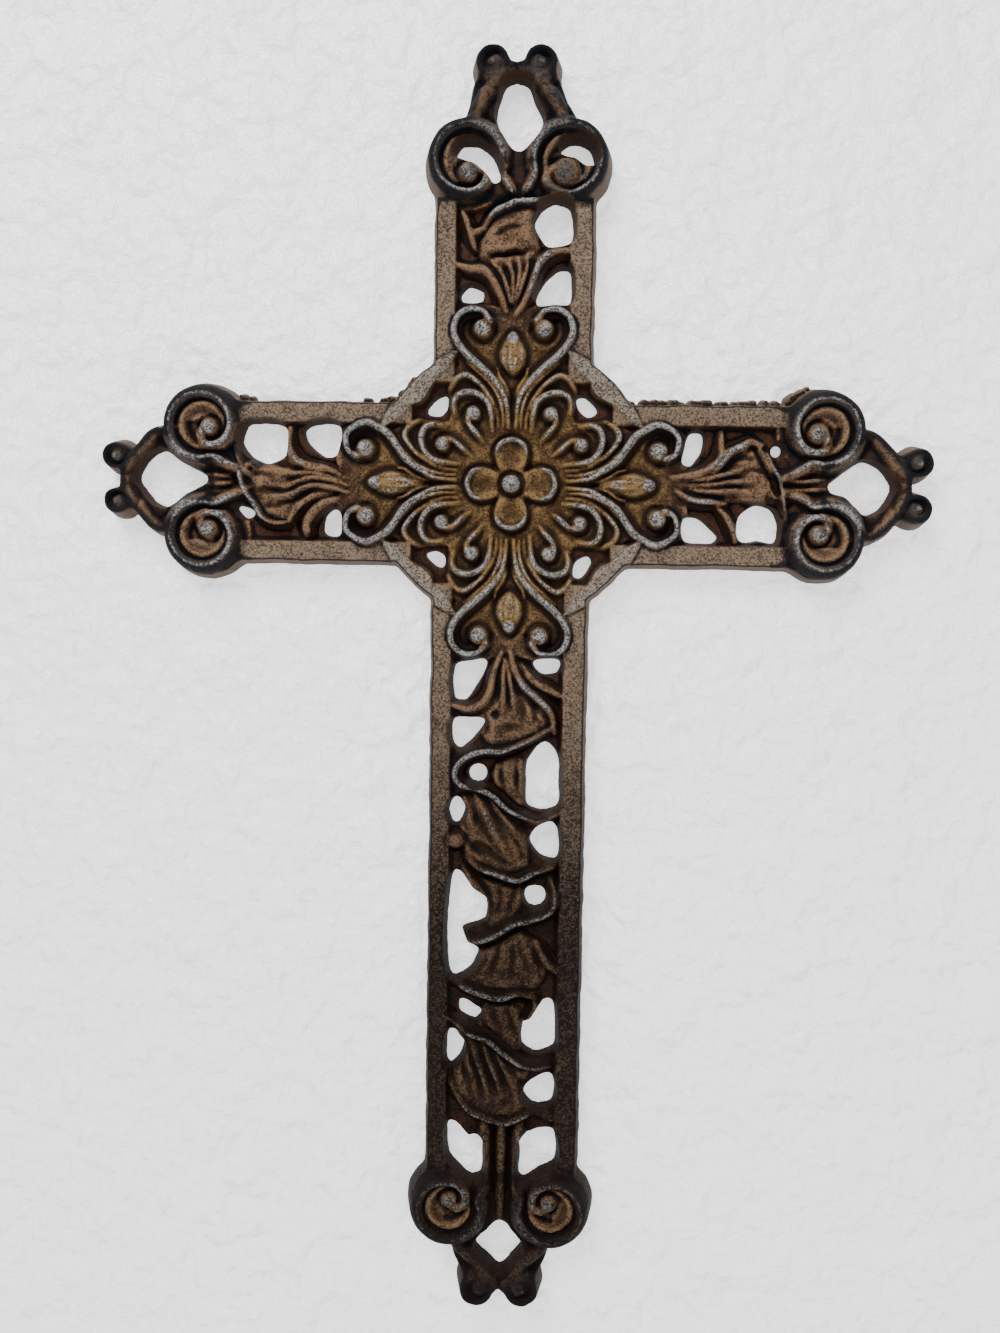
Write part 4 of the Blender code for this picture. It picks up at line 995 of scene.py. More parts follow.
    husks: tuple[Leaf, ...] = (
        Leaf(
            body=((-1.4, -40.6), (-3.0, -45.4), (-4.4, -50.4), (-7.4, -54.0), (-7.0, -59.0),
                (-4.6, -64.0), (2.0, -63.4), (8.4, -60.2), (11.0, -57.4), (10.2, -53.6), (6.6, -51.0),
                (3.2, -47.2), (0.8, -40.6)),
            strands=((((-13.6, -53.4), (-9.6, -54.2), (-6.2, -52.8), (-4.4, -49.8), (-3.3, -45.0),
                (-1.6, -40.4)), 7.3, 1.4), (((12.8, -50.8), (9.6, -49.2), (6.2, -47.4), (3.0, -43.6)),
                7.0, 1.4), (((11.4, -59.6), (11.0, -56.4), (9.8, -53.8), (6.8, -51.0), (3.6, -48.2),
                (1.5, -44.6), (0.4, -40.2)), 7.7, 1.4), (((1.6, -55.4), (1.2, -50.8), (0.4, -47.2),
                (-0.2, -42.6)), 7.5, 0.9), (((-1.0, -54.4), (-1.1, -49.8), (-1.2, -45.6), (-0.9, -42.0)),
                7.4, 0.9)),
            folds=(((3.4, -57.6), (3.8, -54.4), (3.2, -51.2)), ((6.6, -57.4), (6.6, -54.6), (5.4, -52.2)),
                ((-5.4, -60.8), (-4.8, -57.6), (-5.6, -54.6))),
            hollows=((-3.0, -55.4, 1.5, 1.7, 1.6, 0.0), (0.6, -58.4, 2.2, 1.4, 0.8, 0.0)),
            lip=((10.9, -58.4), (8.0, -60.2), (5.0, -61.8), (2.0, -63.2), (-1.4, -64.4), (-5.0, -64.3),
                (-8.8, -65.2), (-11.8, -67.6), (-12.6, -70.6), (-11.0, -72.8), (-7.2, -73.6),
                (-3.4, -75.2), (0.2, -78.4), (4.2, -80.4), (8.0, -81.5), (12.4, -79.6)),
            lip_height=8.3,
            lip_rolls_left=False,
        ),
        Leaf(
            body=((2.0, -64.8), (-1.8, -66.6), (-3.8, -70.2), (-2.6, -74.4), (1.4, -78.4), (4.6, -79.0),
                (4.8, -72.0), (4.8, -66.4)),
            crest=5.2,
            strands=((((3.2, -66.8), (3.8, -70.4), (3.6, -75.0)), 6.4, 1.0), (((-2.4, -68.0),
                (-2.6, -71.0), (-1.6, -73.8)), 6.2, 0.9)),
        ),
        Leaf(
            body=((-9.6, -75.0), (-11.4, -80.4), (-11.8, -86.4), (-9.6, -91.2), (-4.6, -94.6),
                (2.4, -95.8), (6.2, -93.0), (5.6, -88.4), (4.8, -84.0), (1.0, -79.6), (-3.6, -75.6)),
            strands=((((-7.8, -74.8), (-5.4, -79.0), (-3.6, -83.0), (-1.4, -87.0), (0.8, -90.6)), 7.5,
                1.3), (((-10.2, -76.0), (-9.4, -80.0), (-7.8, -83.4), (-6.4, -85.6)), 7.2, 1.2),
                (((-4.6, -75.2), (-1.8, -79.2), (1.4, -82.8), (3.8, -87.0)), 7.2, 1.0)),
            folds=(((-10.2, -84.0), (-8.4, -88.0), (-5.0, -90.8)), ((-4.6, -87.2), (-2.6, -90.4),
                (1.2, -92.4)), ((2.0, -85.4), (3.8, -88.8), (4.2, -91.6))),
            hollows=((-6.2, -88.4, 3.8, 2.2, 1.7, -24.0), (-7.4, -81.8, 0.9, 2.2, 0.8, 0.0)),
            lip=((-9.6, -90.6), (-6.6, -93.2), (-2.0, -94.6), (2.8, -96.0), (6.8, -94.2), (11.8, -92.8)),
            lip_height=8.2,
        ),
        Leaf(
            body=((-6.2, -95.6), (-4.8, -101.6), (-4.6, -108.4), (-1.0, -109.6), (4.4, -106.4),
                (4.8, -97.4)),
            crest=5.8,
            strands=((((-10.2, -93.6), (-8.0, -97.2), (-5.6, -100.4), (-4.0, -104.0)), 6.9, 1.3),
                (((3.6, -97.2), (3.4, -101.0), (1.6, -105.4)), 6.6, 1.0)),
            folds=(((-1.6, -97.4), (-1.2, -101.2), (-2.0, -105.6)),),
            lip=((11.2, -95.2), (12.2, -99.6), (11.4, -103.6), (7.0, -105.8), (2.4, -107.0),
                (-2.8, -110.2), (-7.2, -111.6), (-10.4, -110.0), (-11.2, -107.0)),
            lip_height=8.1,
            lip_rolls_left=False,
        ),
        Leaf(
            body=((-8.6, -112.8), (-9.4, -116.6), (-11.4, -121.4), (-5.0, -124.4), (2.0, -124.8),
                (8.4, -123.8), (11.4, -118.0), (8.2, -111.6), (2.4, -108.4), (-3.6, -111.8)),
            strands=((((8.0, -111.8), (9.2, -114.4), (10.8, -116.8), (13.2, -119.4)), 7.2, 1.3),
                (((4.0, -109.6), (5.4, -113.4), (7.0, -117.0), (8.0, -121.4)), 6.9, 1.1),
                (((-5.4, -113.0), (-6.4, -116.4), (-8.8, -120.4)), 6.9, 1.1)),
            folds=(((-1.0, -111.4), (-2.0, -115.8), (-3.6, -121.0)), ((2.0, -110.8), (2.2, -115.4),
                (1.8, -121.2))),
            lip=((-14.6, -120.6), (-11.4, -122.2), (-6.2, -124.4), (-1.0, -125.6), (3.4, -124.6),
                (7.4, -125.4)),
            lip_height=8.1,
        ),
        Leaf(
            body=((-5.4, -125.4), (-5.6, -130.0), (-7.4, -133.4), (-2.6, -136.6), (2.8, -141.4),
                (5.0, -138.4), (5.0, -133.0), (6.6, -127.8)),
            crest=5.4,
            strands=((((7.2, -124.8), (8.0, -127.6), (6.4, -130.8), (5.0, -131.6)), 7.4, 1.2),
                (((1.6, -127.2), (3.4, -131.4), (4.2, -136.0)), 6.3, 1.1), (((-4.0, -127.2),
                (-4.0, -131.0), (-1.6, -134.8)), 6.2, 1.1)),
        ),
        Leaf(
            body=((-12.6, -131.0), (-11.0, -137.0), (-12.6, -145.0), (-12.2, -151.0), (-8.0, -155.4),
                (-2.0, -157.6), (4.6, -156.6), (7.4, -152.8), (5.6, -148.4), (7.4, -144.0), (2.4, -141.6),
                (-3.0, -137.4), (-8.0, -134.4)),
            strands=((((-11.0, -134.2), (-9.0, -140.4), (-7.0, -146.2), (-6.4, -150.8)), 7.4, 1.0),
                (((-8.4, -135.4), (-6.2, -141.6), (-4.2, -147.4), (-3.4, -152.4)), 7.6, 1.0),
                (((-5.4, -136.4), (-2.8, -142.6), (-0.8, -148.0), (0.0, -152.6)), 7.6, 1.0),
                (((-2.2, -138.6), (1.0, -144.4), (3.2, -149.0), (3.8, -152.8)), 7.3, 1.0)),
            hollows=((-9.6, -144.6, 0.8, 3.4, 1.0, 12.0), (5.0, -147.4, 1.2, 1.6, 1.0, 30.0)),
            lip=((-15.2, -130.2), (-11.8, -132.0), (-8.4, -134.8), (-3.6, -136.4), (0.4, -139.6),
                (4.4, -142.4), (8.0, -143.2), (11.8, -142.4)),
            lip_height=8.2,
            lip_rolls_left=False,
        ),
    )
    foot_lip: Strand = Strand(
        ((-12.8, -147.6), (-11.0, -150.8), (-8.2, -154.0), (-3.6, -156.4), (1.6, -157.2), (5.4, -155.4),
        (8.6, -154.8), (12.4, -156.4)), 8.2, 2.4, 1.5, 0.5, 0.6, left_flank=Flank.HOLLOW, foot=3.8,
        gutter=0.9
    )
    stem_ribs: tuple[float, ...] = (-4.4, 0.0, 4.4)
    body_edge: float = 3.6
    spread: float = 1.2
    fold_depth: float = 0.9
    fold_half: float = 0.7
    lip_hollow: float = 2.6
    lip_steep: float = 1.5

    def carve(self, relief: Relief) -> None:
        """Carve all four arms, the joints beyond the side leaves and the stem.

        Args:
            relief: the relief to carve.
        """
        relief.swelling(Swelling(0.6, 69.8, 8.6, 3.6, 5.6, foot=3.4, fullness=0.4))
        for y in (-2.6, -0.6, 1.4, 3.4):
            right = ((65.4, y), (69.6, 1.05 * y), (74.4, 1.2 * y + 0.3))
            left = ((-67.2, 0.9 * y), (-70.4, y), (-74.0, 1.1 * y))
            relief.strand(Strand(right, 6.5, 0.9, 0.9, foot=4.6, gutter=0.3))
            relief.strand(Strand(left, 6.0, 0.9, 0.9, foot=4.6, gutter=0.3))
        for leaf in (self.upper_leaf, self.left_leaf, self.right_leaf) + tuple(reversed(self.husks)):
            self.leaf(relief, leaf)
        relief.strand(self.foot_lip)
        relief.swelling(Swelling(-12.3, -86.7, 2.3, 2.3, 7.2, gutter=0.8))
        relief.swelling(Swelling(-49.0, -11.4, 1.6, 2.0, 7.2, 20.0, gutter=0.5))
        for x in self.stem_ribs:
            relief.strand(Strand(((x, -158.0), (x, -170.0), (0.9 * x, -182.0)), 6.9, 1.9, 1.9, 0.8, 0.7,
                                 foot=4.0, gutter=0.3))

    def leaf(self, relief: Relief, leaf: Leaf) -> None:
        """Carve one leaf.

        Args:
            relief: the relief to carve.
            leaf: the leaf.
        """
        place = from_front if leaf.seen else tuple
        relief.pillow(place(leaf.body), leaf.crest, self.body_edge)
        for x, y, across, along, depth, turn in leaf.hollows:
            relief.scoop(x, y, across, along, depth, turn)
        for path, crest, half in leaf.strands:
            wide = self.spread * half
            relief.strand(Strand(place(path), crest, wide, wide, 0.3, 0.35, foot=4.2, gutter=0.6))
        for path in leaf.folds:
            relief.score(place(path), self.fold_depth, self.fold_half)
        if leaf.lip:
            left, right = (self.lip_hollow, Flank.HOLLOW), (self.lip_steep, Flank.ROUND)
            if not leaf.lip_rolls_left:
                left, right = right, left
            lip = place(leaf.lip)
            relief.strand(Strand(lip, leaf.lip_height, left[0], right[0], 0.5, 0.5, left[1], right[1],
                                 foot=4.0, gutter=0.9))
            relief.strand(Strand(lip, leaf.lip_height, 1.2, 1.2, 0.5, 0.5, foot=4.6, gutter=0.0))


@dataclass
class Piercings:
    """Openings through the ground, drawn as they leave the back.

    Attributes:
        outlines: corners of each opening, from the top down and from left to right.
        rounds: middle and radius of the round ones.
    """

    outlines: tuple[Path, ...] = (
        ((0.0, 94.4), (-2.4, 93.2), (-3.6, 90.4), (-4.6, 85.9), (-2.4, 82.0), (0.3, 78.8), (3.4, 81.2),
         (5.8, 85.5), (3.9, 89.6), (2.6, 93.3)),
        ((-14.0, 77.3), (-12.4, 79.6), (-9.0, 79.6), (-5.8, 77.4), (-4.0, 73.0), (-4.8, 71.2),
         (-6.6, 73.4), (-10.0, 76.0)),
        ((10.7, 78.4), (13.6, 80.3), (17.0, 79.0), (18.3, 75.6), (17.2, 75.2), (14.0, 77.2)),
        ((4.8, 61.8), (6.6, 64.6), (9.4, 66.2), (12.6, 65.2), (13.2, 61.6), (12.9, 57.8), (8.0, 57.0),
         (6.4, 58.8)),
        ((-12.4, 45.0), (-10.6, 46.8), (-7.6, 45.8), (-8.0, 43.9), (-12.0, 43.8)),
        ((5.8, 43.4), (7.4, 47.4), (10.4, 50.5), (12.9, 50.5), (13.2, 47.2), (13.1, 43.6), (9.4, 43.6)),
        ((15.6, 20.6), (17.4, 20.8), (20.1, 17.8), (18.2, 16.7), (16.2, 18.2)),
        ((-20.3, 17.3), (-18.0, 20.2), (-16.1, 20.8), (-16.1, 18.2), (-17.6, 16.7)),
        ((-20.3, -17.2), (-18.4, -16.5), (-16.4, -17.6), (-16.8, -19.8)),
        ((15.7, -21.6), (16.0, -18.6), (18.6, -17.2), (19.4, -18.6), (17.2, -21.8)),
        ((-65.4, 9.6), (-64.0, 13.4), (-59.4, 13.9), (-55.4, 13.0), (-55.4, 6.9), (-59.8, 4.9),
         (-63.4, 6.7)),
        ((-49.8, 12.4), (-45.4, 14.1), (-42.0, 13.4), (-42.8, 7.3), (-45.0, 6.6), (-48.4, 9.0)),
        ((-66.5, -6.3), (-64.6, -6.4), (-63.0, -7.6), (-64.6, -8.5)),
        ((-45.4, -11.4), (-44.8, -8.2), (-42.6, -6.8), (-41.9, -9.6), (-42.2, -12.2), (-44.4, -12.3)),
        ((-90.6, 0.4), (-88.4, 4.9), (-84.6, 6.9), (-80.8, 4.1), (-75.0, 1.3), (-74.6, 0.2),
         (-79.4, -2.4), (-84.4, -5.9), (-87.2, -4.4)),
        ((42.8, 12.5), (45.2, 12.4), (45.2, 9.0), (43.0, 5.6), (41.4, 6.0), (41.9, 9.6)),
        ((41.9, -7.6), (45.2, -7.7), (49.5, -11.8), (48.4, -12.9), (42.4, -12.7)),
        ((55.2, -7.2), (58.8, -4.5), (62.6, -5.4), (64.1, -8.9), (63.4, -12.8), (59.4, -12.3),
         (55.4, -12.3)),
        ((76.4, 0.3), (80.8, 4.3), (84.2, 6.3), (88.4, 4.1), (90.8, 0.2), (88.2, -4.2), (85.2, -5.6),
         (80.4, -1.5)),
        ((-12.8, -44.0), (-9.0, -43.0), (-5.7, -42.8), (-6.8, -46.4), (-10.4, -51.9), (-12.8, -51.6)),
        ((6.2, -43.0), (9.0, -42.3), (12.2, -42.7), (11.4, -45.2), (8.0, -45.3)),
        ((-13.0, -57.4), (-9.6, -57.1), (-6.0, -57.4), (-6.8, -59.2), (-11.4, -63.9), (-13.1, -62.6)),
        ((9.2, -62.7), (12.2, -66.2), (12.3, -72.0), (12.2, -77.8), (8.4, -79.0), (5.4, -77.8),
         (5.1, -72.4), (5.2, -67.2)),
        ((-12.3, -76.9), (-10.6, -79.2), (-12.4, -82.9), (-14.0, -79.6)),
        ((11.0, -82.7), (12.4, -84.4), (12.3, -91.0), (8.6, -90.4), (6.1, -87.0), (7.4, -84.3)),
        ((-12.2, -95.2), (-8.6, -99.2), (-5.2, -101.7), (-5.2, -106.9), (-10.9, -109.2), (-9.8, -112.6),
         (-6.9, -114.9), (-8.4, -118.6), (-12.4, -121.2), (-13.7, -117.0), (-13.7, -104.0)),
        ((-10.2, -127.9), (-5.9, -130.7), (-7.2, -132.4), (-10.7, -130.8)),
        ((-12.8, -135.6), (-10.0, -138.4), (-11.2, -142.2), (-13.3, -143.9), (-13.8, -139.4)),
        ((11.2, -127.2), (12.6, -131.6), (12.5, -138.6), (8.4, -140.6), (5.1, -138.8), (5.2, -133.4),
         (7.6, -131.6)),
        ((11.4, -146.3), (12.7, -149.0), (12.0, -153.4), (8.0, -153.9), (5.7, -151.6), (6.8, -149.0)),
        ((-12.7, -159.2), (-8.6, -163.0), (-5.6, -162.9), (-5.3, -167.4), (-5.4, -172.4), (-7.6, -173.0),
         (-12.4, -168.4), (-13.2, -164.4)),
        ((5.1, -163.0), (9.0, -160.9), (12.3, -160.6), (13.3, -164.6), (13.0, -168.6), (9.4, -170.8),
         (5.3, -173.2), (5.1, -168.4)),
        ((0.0, -184.4), (2.2, -186.6), (5.2, -190.8), (2.8, -193.8), (0.0, -196.6), (-3.2, -193.8),
         (-6.0, -190.8), (-2.4, -186.8)),
    )
    rounds: tuple[tuple[float, float, float], ...] = (
        (63.4, 8.8, 1.1), (-7.2, -70.5, 1.8), (7.4, -101.0, 2.25),
    )

    def cut(self, relief: Relief) -> None:
        """Cut every opening.

        Args:
            relief: the relief to cut.
        """
        for outline in self.outlines:
            relief.pierce(rounded_outline(outline))
        for x, y, radius in self.rounds:
            relief.pierce(np.array([(x + radius * math.cos(math.radians(angle)),
                                     y + radius * math.sin(math.radians(angle)))
                                    for angle in range(0, 360, 30)]))


@dataclass
class Crumbs:
    """Lumps of rust and flash along the upper edges.

    Attributes:
        runs: start, end and number of lumps of each run.
    """

    runs: tuple[tuple[float, float, float, float, int], ...] = (
        (27.0, 19.9, 64.0, 19.9, 70), (63.4, 17.4, 66.0, 21.2, 14), (66.0, 21.2, 70.6, 23.9, 18), (-27.0,
        21.4, -23.2, 25.4, 12), (-36.0, 20.0, -28.0, 20.0, 10), (-67.5, 20.4, -63.0, 20.0, 6),
    )

    def scatter(self, relief: Relief) -> None:
        """Drop the lumps on the edges.

        Args:
            relief: the relief to drop them on.
        """
        for start_x, start_y, end_x, end_y, count in self.runs:
            for _ in range(count):
                share, rise = relief.dice.random(2)
                radius = 0.3 + 0.7 * relief.dice.random() ** 2.0
                x = start_x + (end_x - start_x) * share
                y = start_y + (end_y - start_y) * share
                area = relief.window(np.array([[x, y]]), radius + 1.0)
                far = np.hypot(relief.grid_x[area] - x, relief.grid_y[area] - y)
                relief.outside[area] = np.maximum(relief.outside[area], radius - far + 0.4)
                level = np.where(far < radius + 0.5, 1.4 + 3.2 * rise - 0.8 * (far / radius) ** 2, BARE)
                relief.height[area] = np.maximum(relief.height[area], level)


class Sheet:
    """Helper that lays out the nodes of one material or node group."""

    def __init__(self, tree: bpy.types.NodeTree) -> None:
        """Work on a node tree."""
        self.tree = tree

    def node(self, kind: str, **settings: object) -> bpy.types.Node:
        """Add a node.

        Args:
            kind: its type.
            settings: its settings by name.

        Returns:
            The node.
        """
        made = self.tree.nodes.new(kind)
        for name, value in settings.items():
            setattr(made, name, value)
        return made

    def join(self, value: object, socket: Socket) -> None:
        """Feed a socket.

        Args:
            value: another socket or a plain value.
            socket: the socket to feed.
        """
        if isinstance(value, Socket):
            self.tree.links.new(value, socket)
        else:
            socket.default_value = value

    def math(self, operation: str, *values: object, clamp: bool = False) -> Socket:
        """Result of a sum.

        Args:
            operation: the kind of sum.
            values: sockets or numbers that go into it.
            clamp: whether the result stays between 0 and 1.

        Returns:
            The result.
        """
        made = self.node("ShaderNodeMath", operation=operation, use_clamp=clamp)
        for value, socket in zip(values, made.inputs):
            self.join(value, socket)
        return made.outputs[0]

    def total(self, *parts: tuple[Socket, float]) -> Socket:
        """Weighted sum of some values.

        Args:
            parts: each value and its weight.

        Returns:
            The sum.
        """
        terms = [value if weight == 1.0 else self.math("MULTIPLY", value, weight)
                 for value, weight in parts]
        whole = terms[0]
        for term in terms[1:]:
            whole = self.math("ADD", whole, term)
        return whole

    def less(self, value: Socket, share: float, start: float = 1.0) -> Socket:
        """Start value less a share of another value."""
        return self.math("SUBTRACT", start, self.math("MULTIPLY", value, share))

    def step(self, value: object, low: float, high: float) -> Socket:
        """Soft step of a value.

        Args:
            value: the value.
            low: where the step is 0.
            high: where it is 1, which may lie below low.

        Returns:
            The step.
        """
        made = self.node("ShaderNodeMapRange", interpolation_type="SMOOTHSTEP")
        self.join(value, made.inputs["Value"])
        made.inputs["From Min"].default_value = low
        made.inputs["From Max"].default_value = high
        return made.outputs["Result"]

    def blend(self, share: object, first: object, second: object) -> Socket:
        """Colour between two colours.

        Args:
            share: share of the second one.
            first: a colour or a socket.
            second: a colour or a socket.

        Returns:
            The colour.
        """
        made = self.node("ShaderNodeMix", data_type="RGBA")
        self.join(share, made.inputs["Factor"])
        self.join(first, made.inputs["A"])
        self.join(second, made.inputs["B"])
        return made.outputs["Result"]

    def noise(self, place: Socket, size: float, detail: float = 3.0,
              rough: float = 0.6) -> Socket:
        """Soft noise.

        Args:
            place: where it is read.
            size: size of its features in millimetres.
            detail: number of finer layers.
            rough: strength of those layers.

        Returns:
            The noise, from 0 to 1.
        """
        made = self.node("ShaderNodeTexNoise")
        self.join(place, made.inputs["Vector"])
        made.inputs["Scale"].default_value = 1.0 / (size * MM)
        made.inputs["Detail"].default_value = detail
        made.inputs["Roughness"].default_value = rough
        return made.outputs["Fac"]

    def grains(self, place: Socket, size: float) -> Socket:
        """Grains, each of its own random value.

        Args:
            place: where they are read.
            size: size of a grain in millimetres.

        Returns:
            The value of the grain, from 0 to 1.
        """
        made = self.node("ShaderNodeTexVoronoi")
        self.join(place, made.inputs["Vector"])
        made.inputs["Scale"].default_value = 1.0 / (size * MM)
        parts = self.node("ShaderNodeSeparateColor")
        self.join(made.outputs["Color"], parts.inputs["Color"])
        return parts.outputs["Red"]

    def mark(self, name: str) -> Socket:
        """Value stored on the mesh."""
        return self.node("ShaderNodeAttribute", attribute_name=name).outputs["Fac"]


def broken_edge_group() -> bpy.types.NodeTree:
    """Node group that turns a smooth value into a mask with a grainy, broken edge.

    Returns:
        The group, with Place, Value, Low, High, Break and Scale inputs and a Mask output.
    """
    existing = bpy.data.node_groups.get("broken_edge")
    if existing:
        return existing
    group = bpy.data.node_groups.new("broken_edge", "ShaderNodeTree")
    face = group.interface
    face.new_socket(name="Place", in_out="INPUT", socket_type="NodeSocketVector")
    for name in ("Value", "Low", "High", "Break", "Scale"):
        face.new_socket(name=name, in_out="INPUT", socket_type="NodeSocketFloat")
    face.new_socket(name="Mask", in_out="OUTPUT", socket_type="NodeSocketFloat")
    sheet = Sheet(group)
    given = sheet.node("NodeGroupInput")
    noise = sheet.node("ShaderNodeTexNoise")
    sheet.join(given.outputs["Place"], noise.inputs["Vector"])
    sheet.join(given.outputs["Scale"], noise.inputs["Scale"])
    noise.inputs["Detail"].default_value = 3.0
    noise.inputs["Roughness"].default_value = 0.65
    centred = sheet.math("SUBTRACT", noise.outputs["Fac"], 0.5)
    swing = sheet.math("MULTIPLY", centred, given.outputs["Break"])
    edge = sheet.node("ShaderNodeMapRange", interpolation_type="SMOOTHSTEP")
    sheet.join(sheet.math("ADD", given.outputs["Value"], swing), edge.inputs["Value"])
    sheet.join(given.outputs["Low"], edge.inputs["From Min"])
    sheet.join(given.outputs["High"], edge.inputs["From Max"])
    result = sheet.node("NodeGroupOutput")
    sheet.join(edge.outputs["Result"], result.inputs["Mask"])
    return group


class Skin(Sheet):
    """Sheet of the casting's material, with the marks of its mesh and the noises that its layers share."""

    def __init__(self, tree: bpy.types.NodeTree) -> None:
        """Lay out the marks and the noises.

        Args:
            tree: the material's node tree.
        """
        super().__init__(tree)
        self.place = self.node("ShaderNodeTexCoord").outputs["Object"]
        self.proud, self.broad = self.mark("proud"), self.mark("broad")
        self.rise, self.steep = self.mark("rise"), self.mark("steep")
        self.front, self.edge = self.mark("front"), self.mark("edge")
        self.flat, self.ring = self.mark("flat"), self.mark("ring")
        self.outer, self.channel = self.mark("outer"), self.mark("channel")
        self.warm, self.darkened_ends = self.mark("warm"), self.mark("darkened_ends")
        parts = self.node("ShaderNodeSeparateXYZ")
        self.join(self.place, parts.inputs[0])
        self.lower = self.step(parts.outputs["Z"], -0.118, -0.216)
        self.cloud = self.noise(self.place, 3.0, 4.0)
        self.grain = self.total((self.grains(self.place, 0.38), 0.4),
                                (self.noise(self.place, 0.6, 2.0), 0.6))
        self.fine = self.total((self.grains(self.place, 0.36), 0.5),
                               (self.noise(self.place, 0.5, 2.0), 0.5))
        self.patch = self.total((self.grain, 0.45), (self.cloud, 0.55))
        self.colour: Socket | None = None

    def lay(self, share: Socket, colour: object) -> None:
        """Lay a colour over the one so far, by a share from 0 to 1."""
        self.colour = self.blend(share, self.colour, colour)

    def broken(self, value: Socket, low: float, high: float, ragged: float,
               size: float) -> Socket:
        """Mask with a broken edge.

        Args:
            value: the value that it follows.
            low: where the mask is 0.
            high: where it is 1, which may lie below low.
            ragged: how far the edge wanders.
            size: size of its breaks in millimetres.

        Returns:
            The mask.
        """
        made = self.node("ShaderNodeGroup")
        made.node_tree = broken_edge_group()
        self.join(value, made.inputs["Value"])
        self.join(self.place, made.inputs["Place"])
        for name, number in (("Low", low), ("High", high), ("Break", ragged), ("Scale", 1.0 / (size * MM))):
            made.inputs[name].default_value = number
        return made.outputs["Mask"]


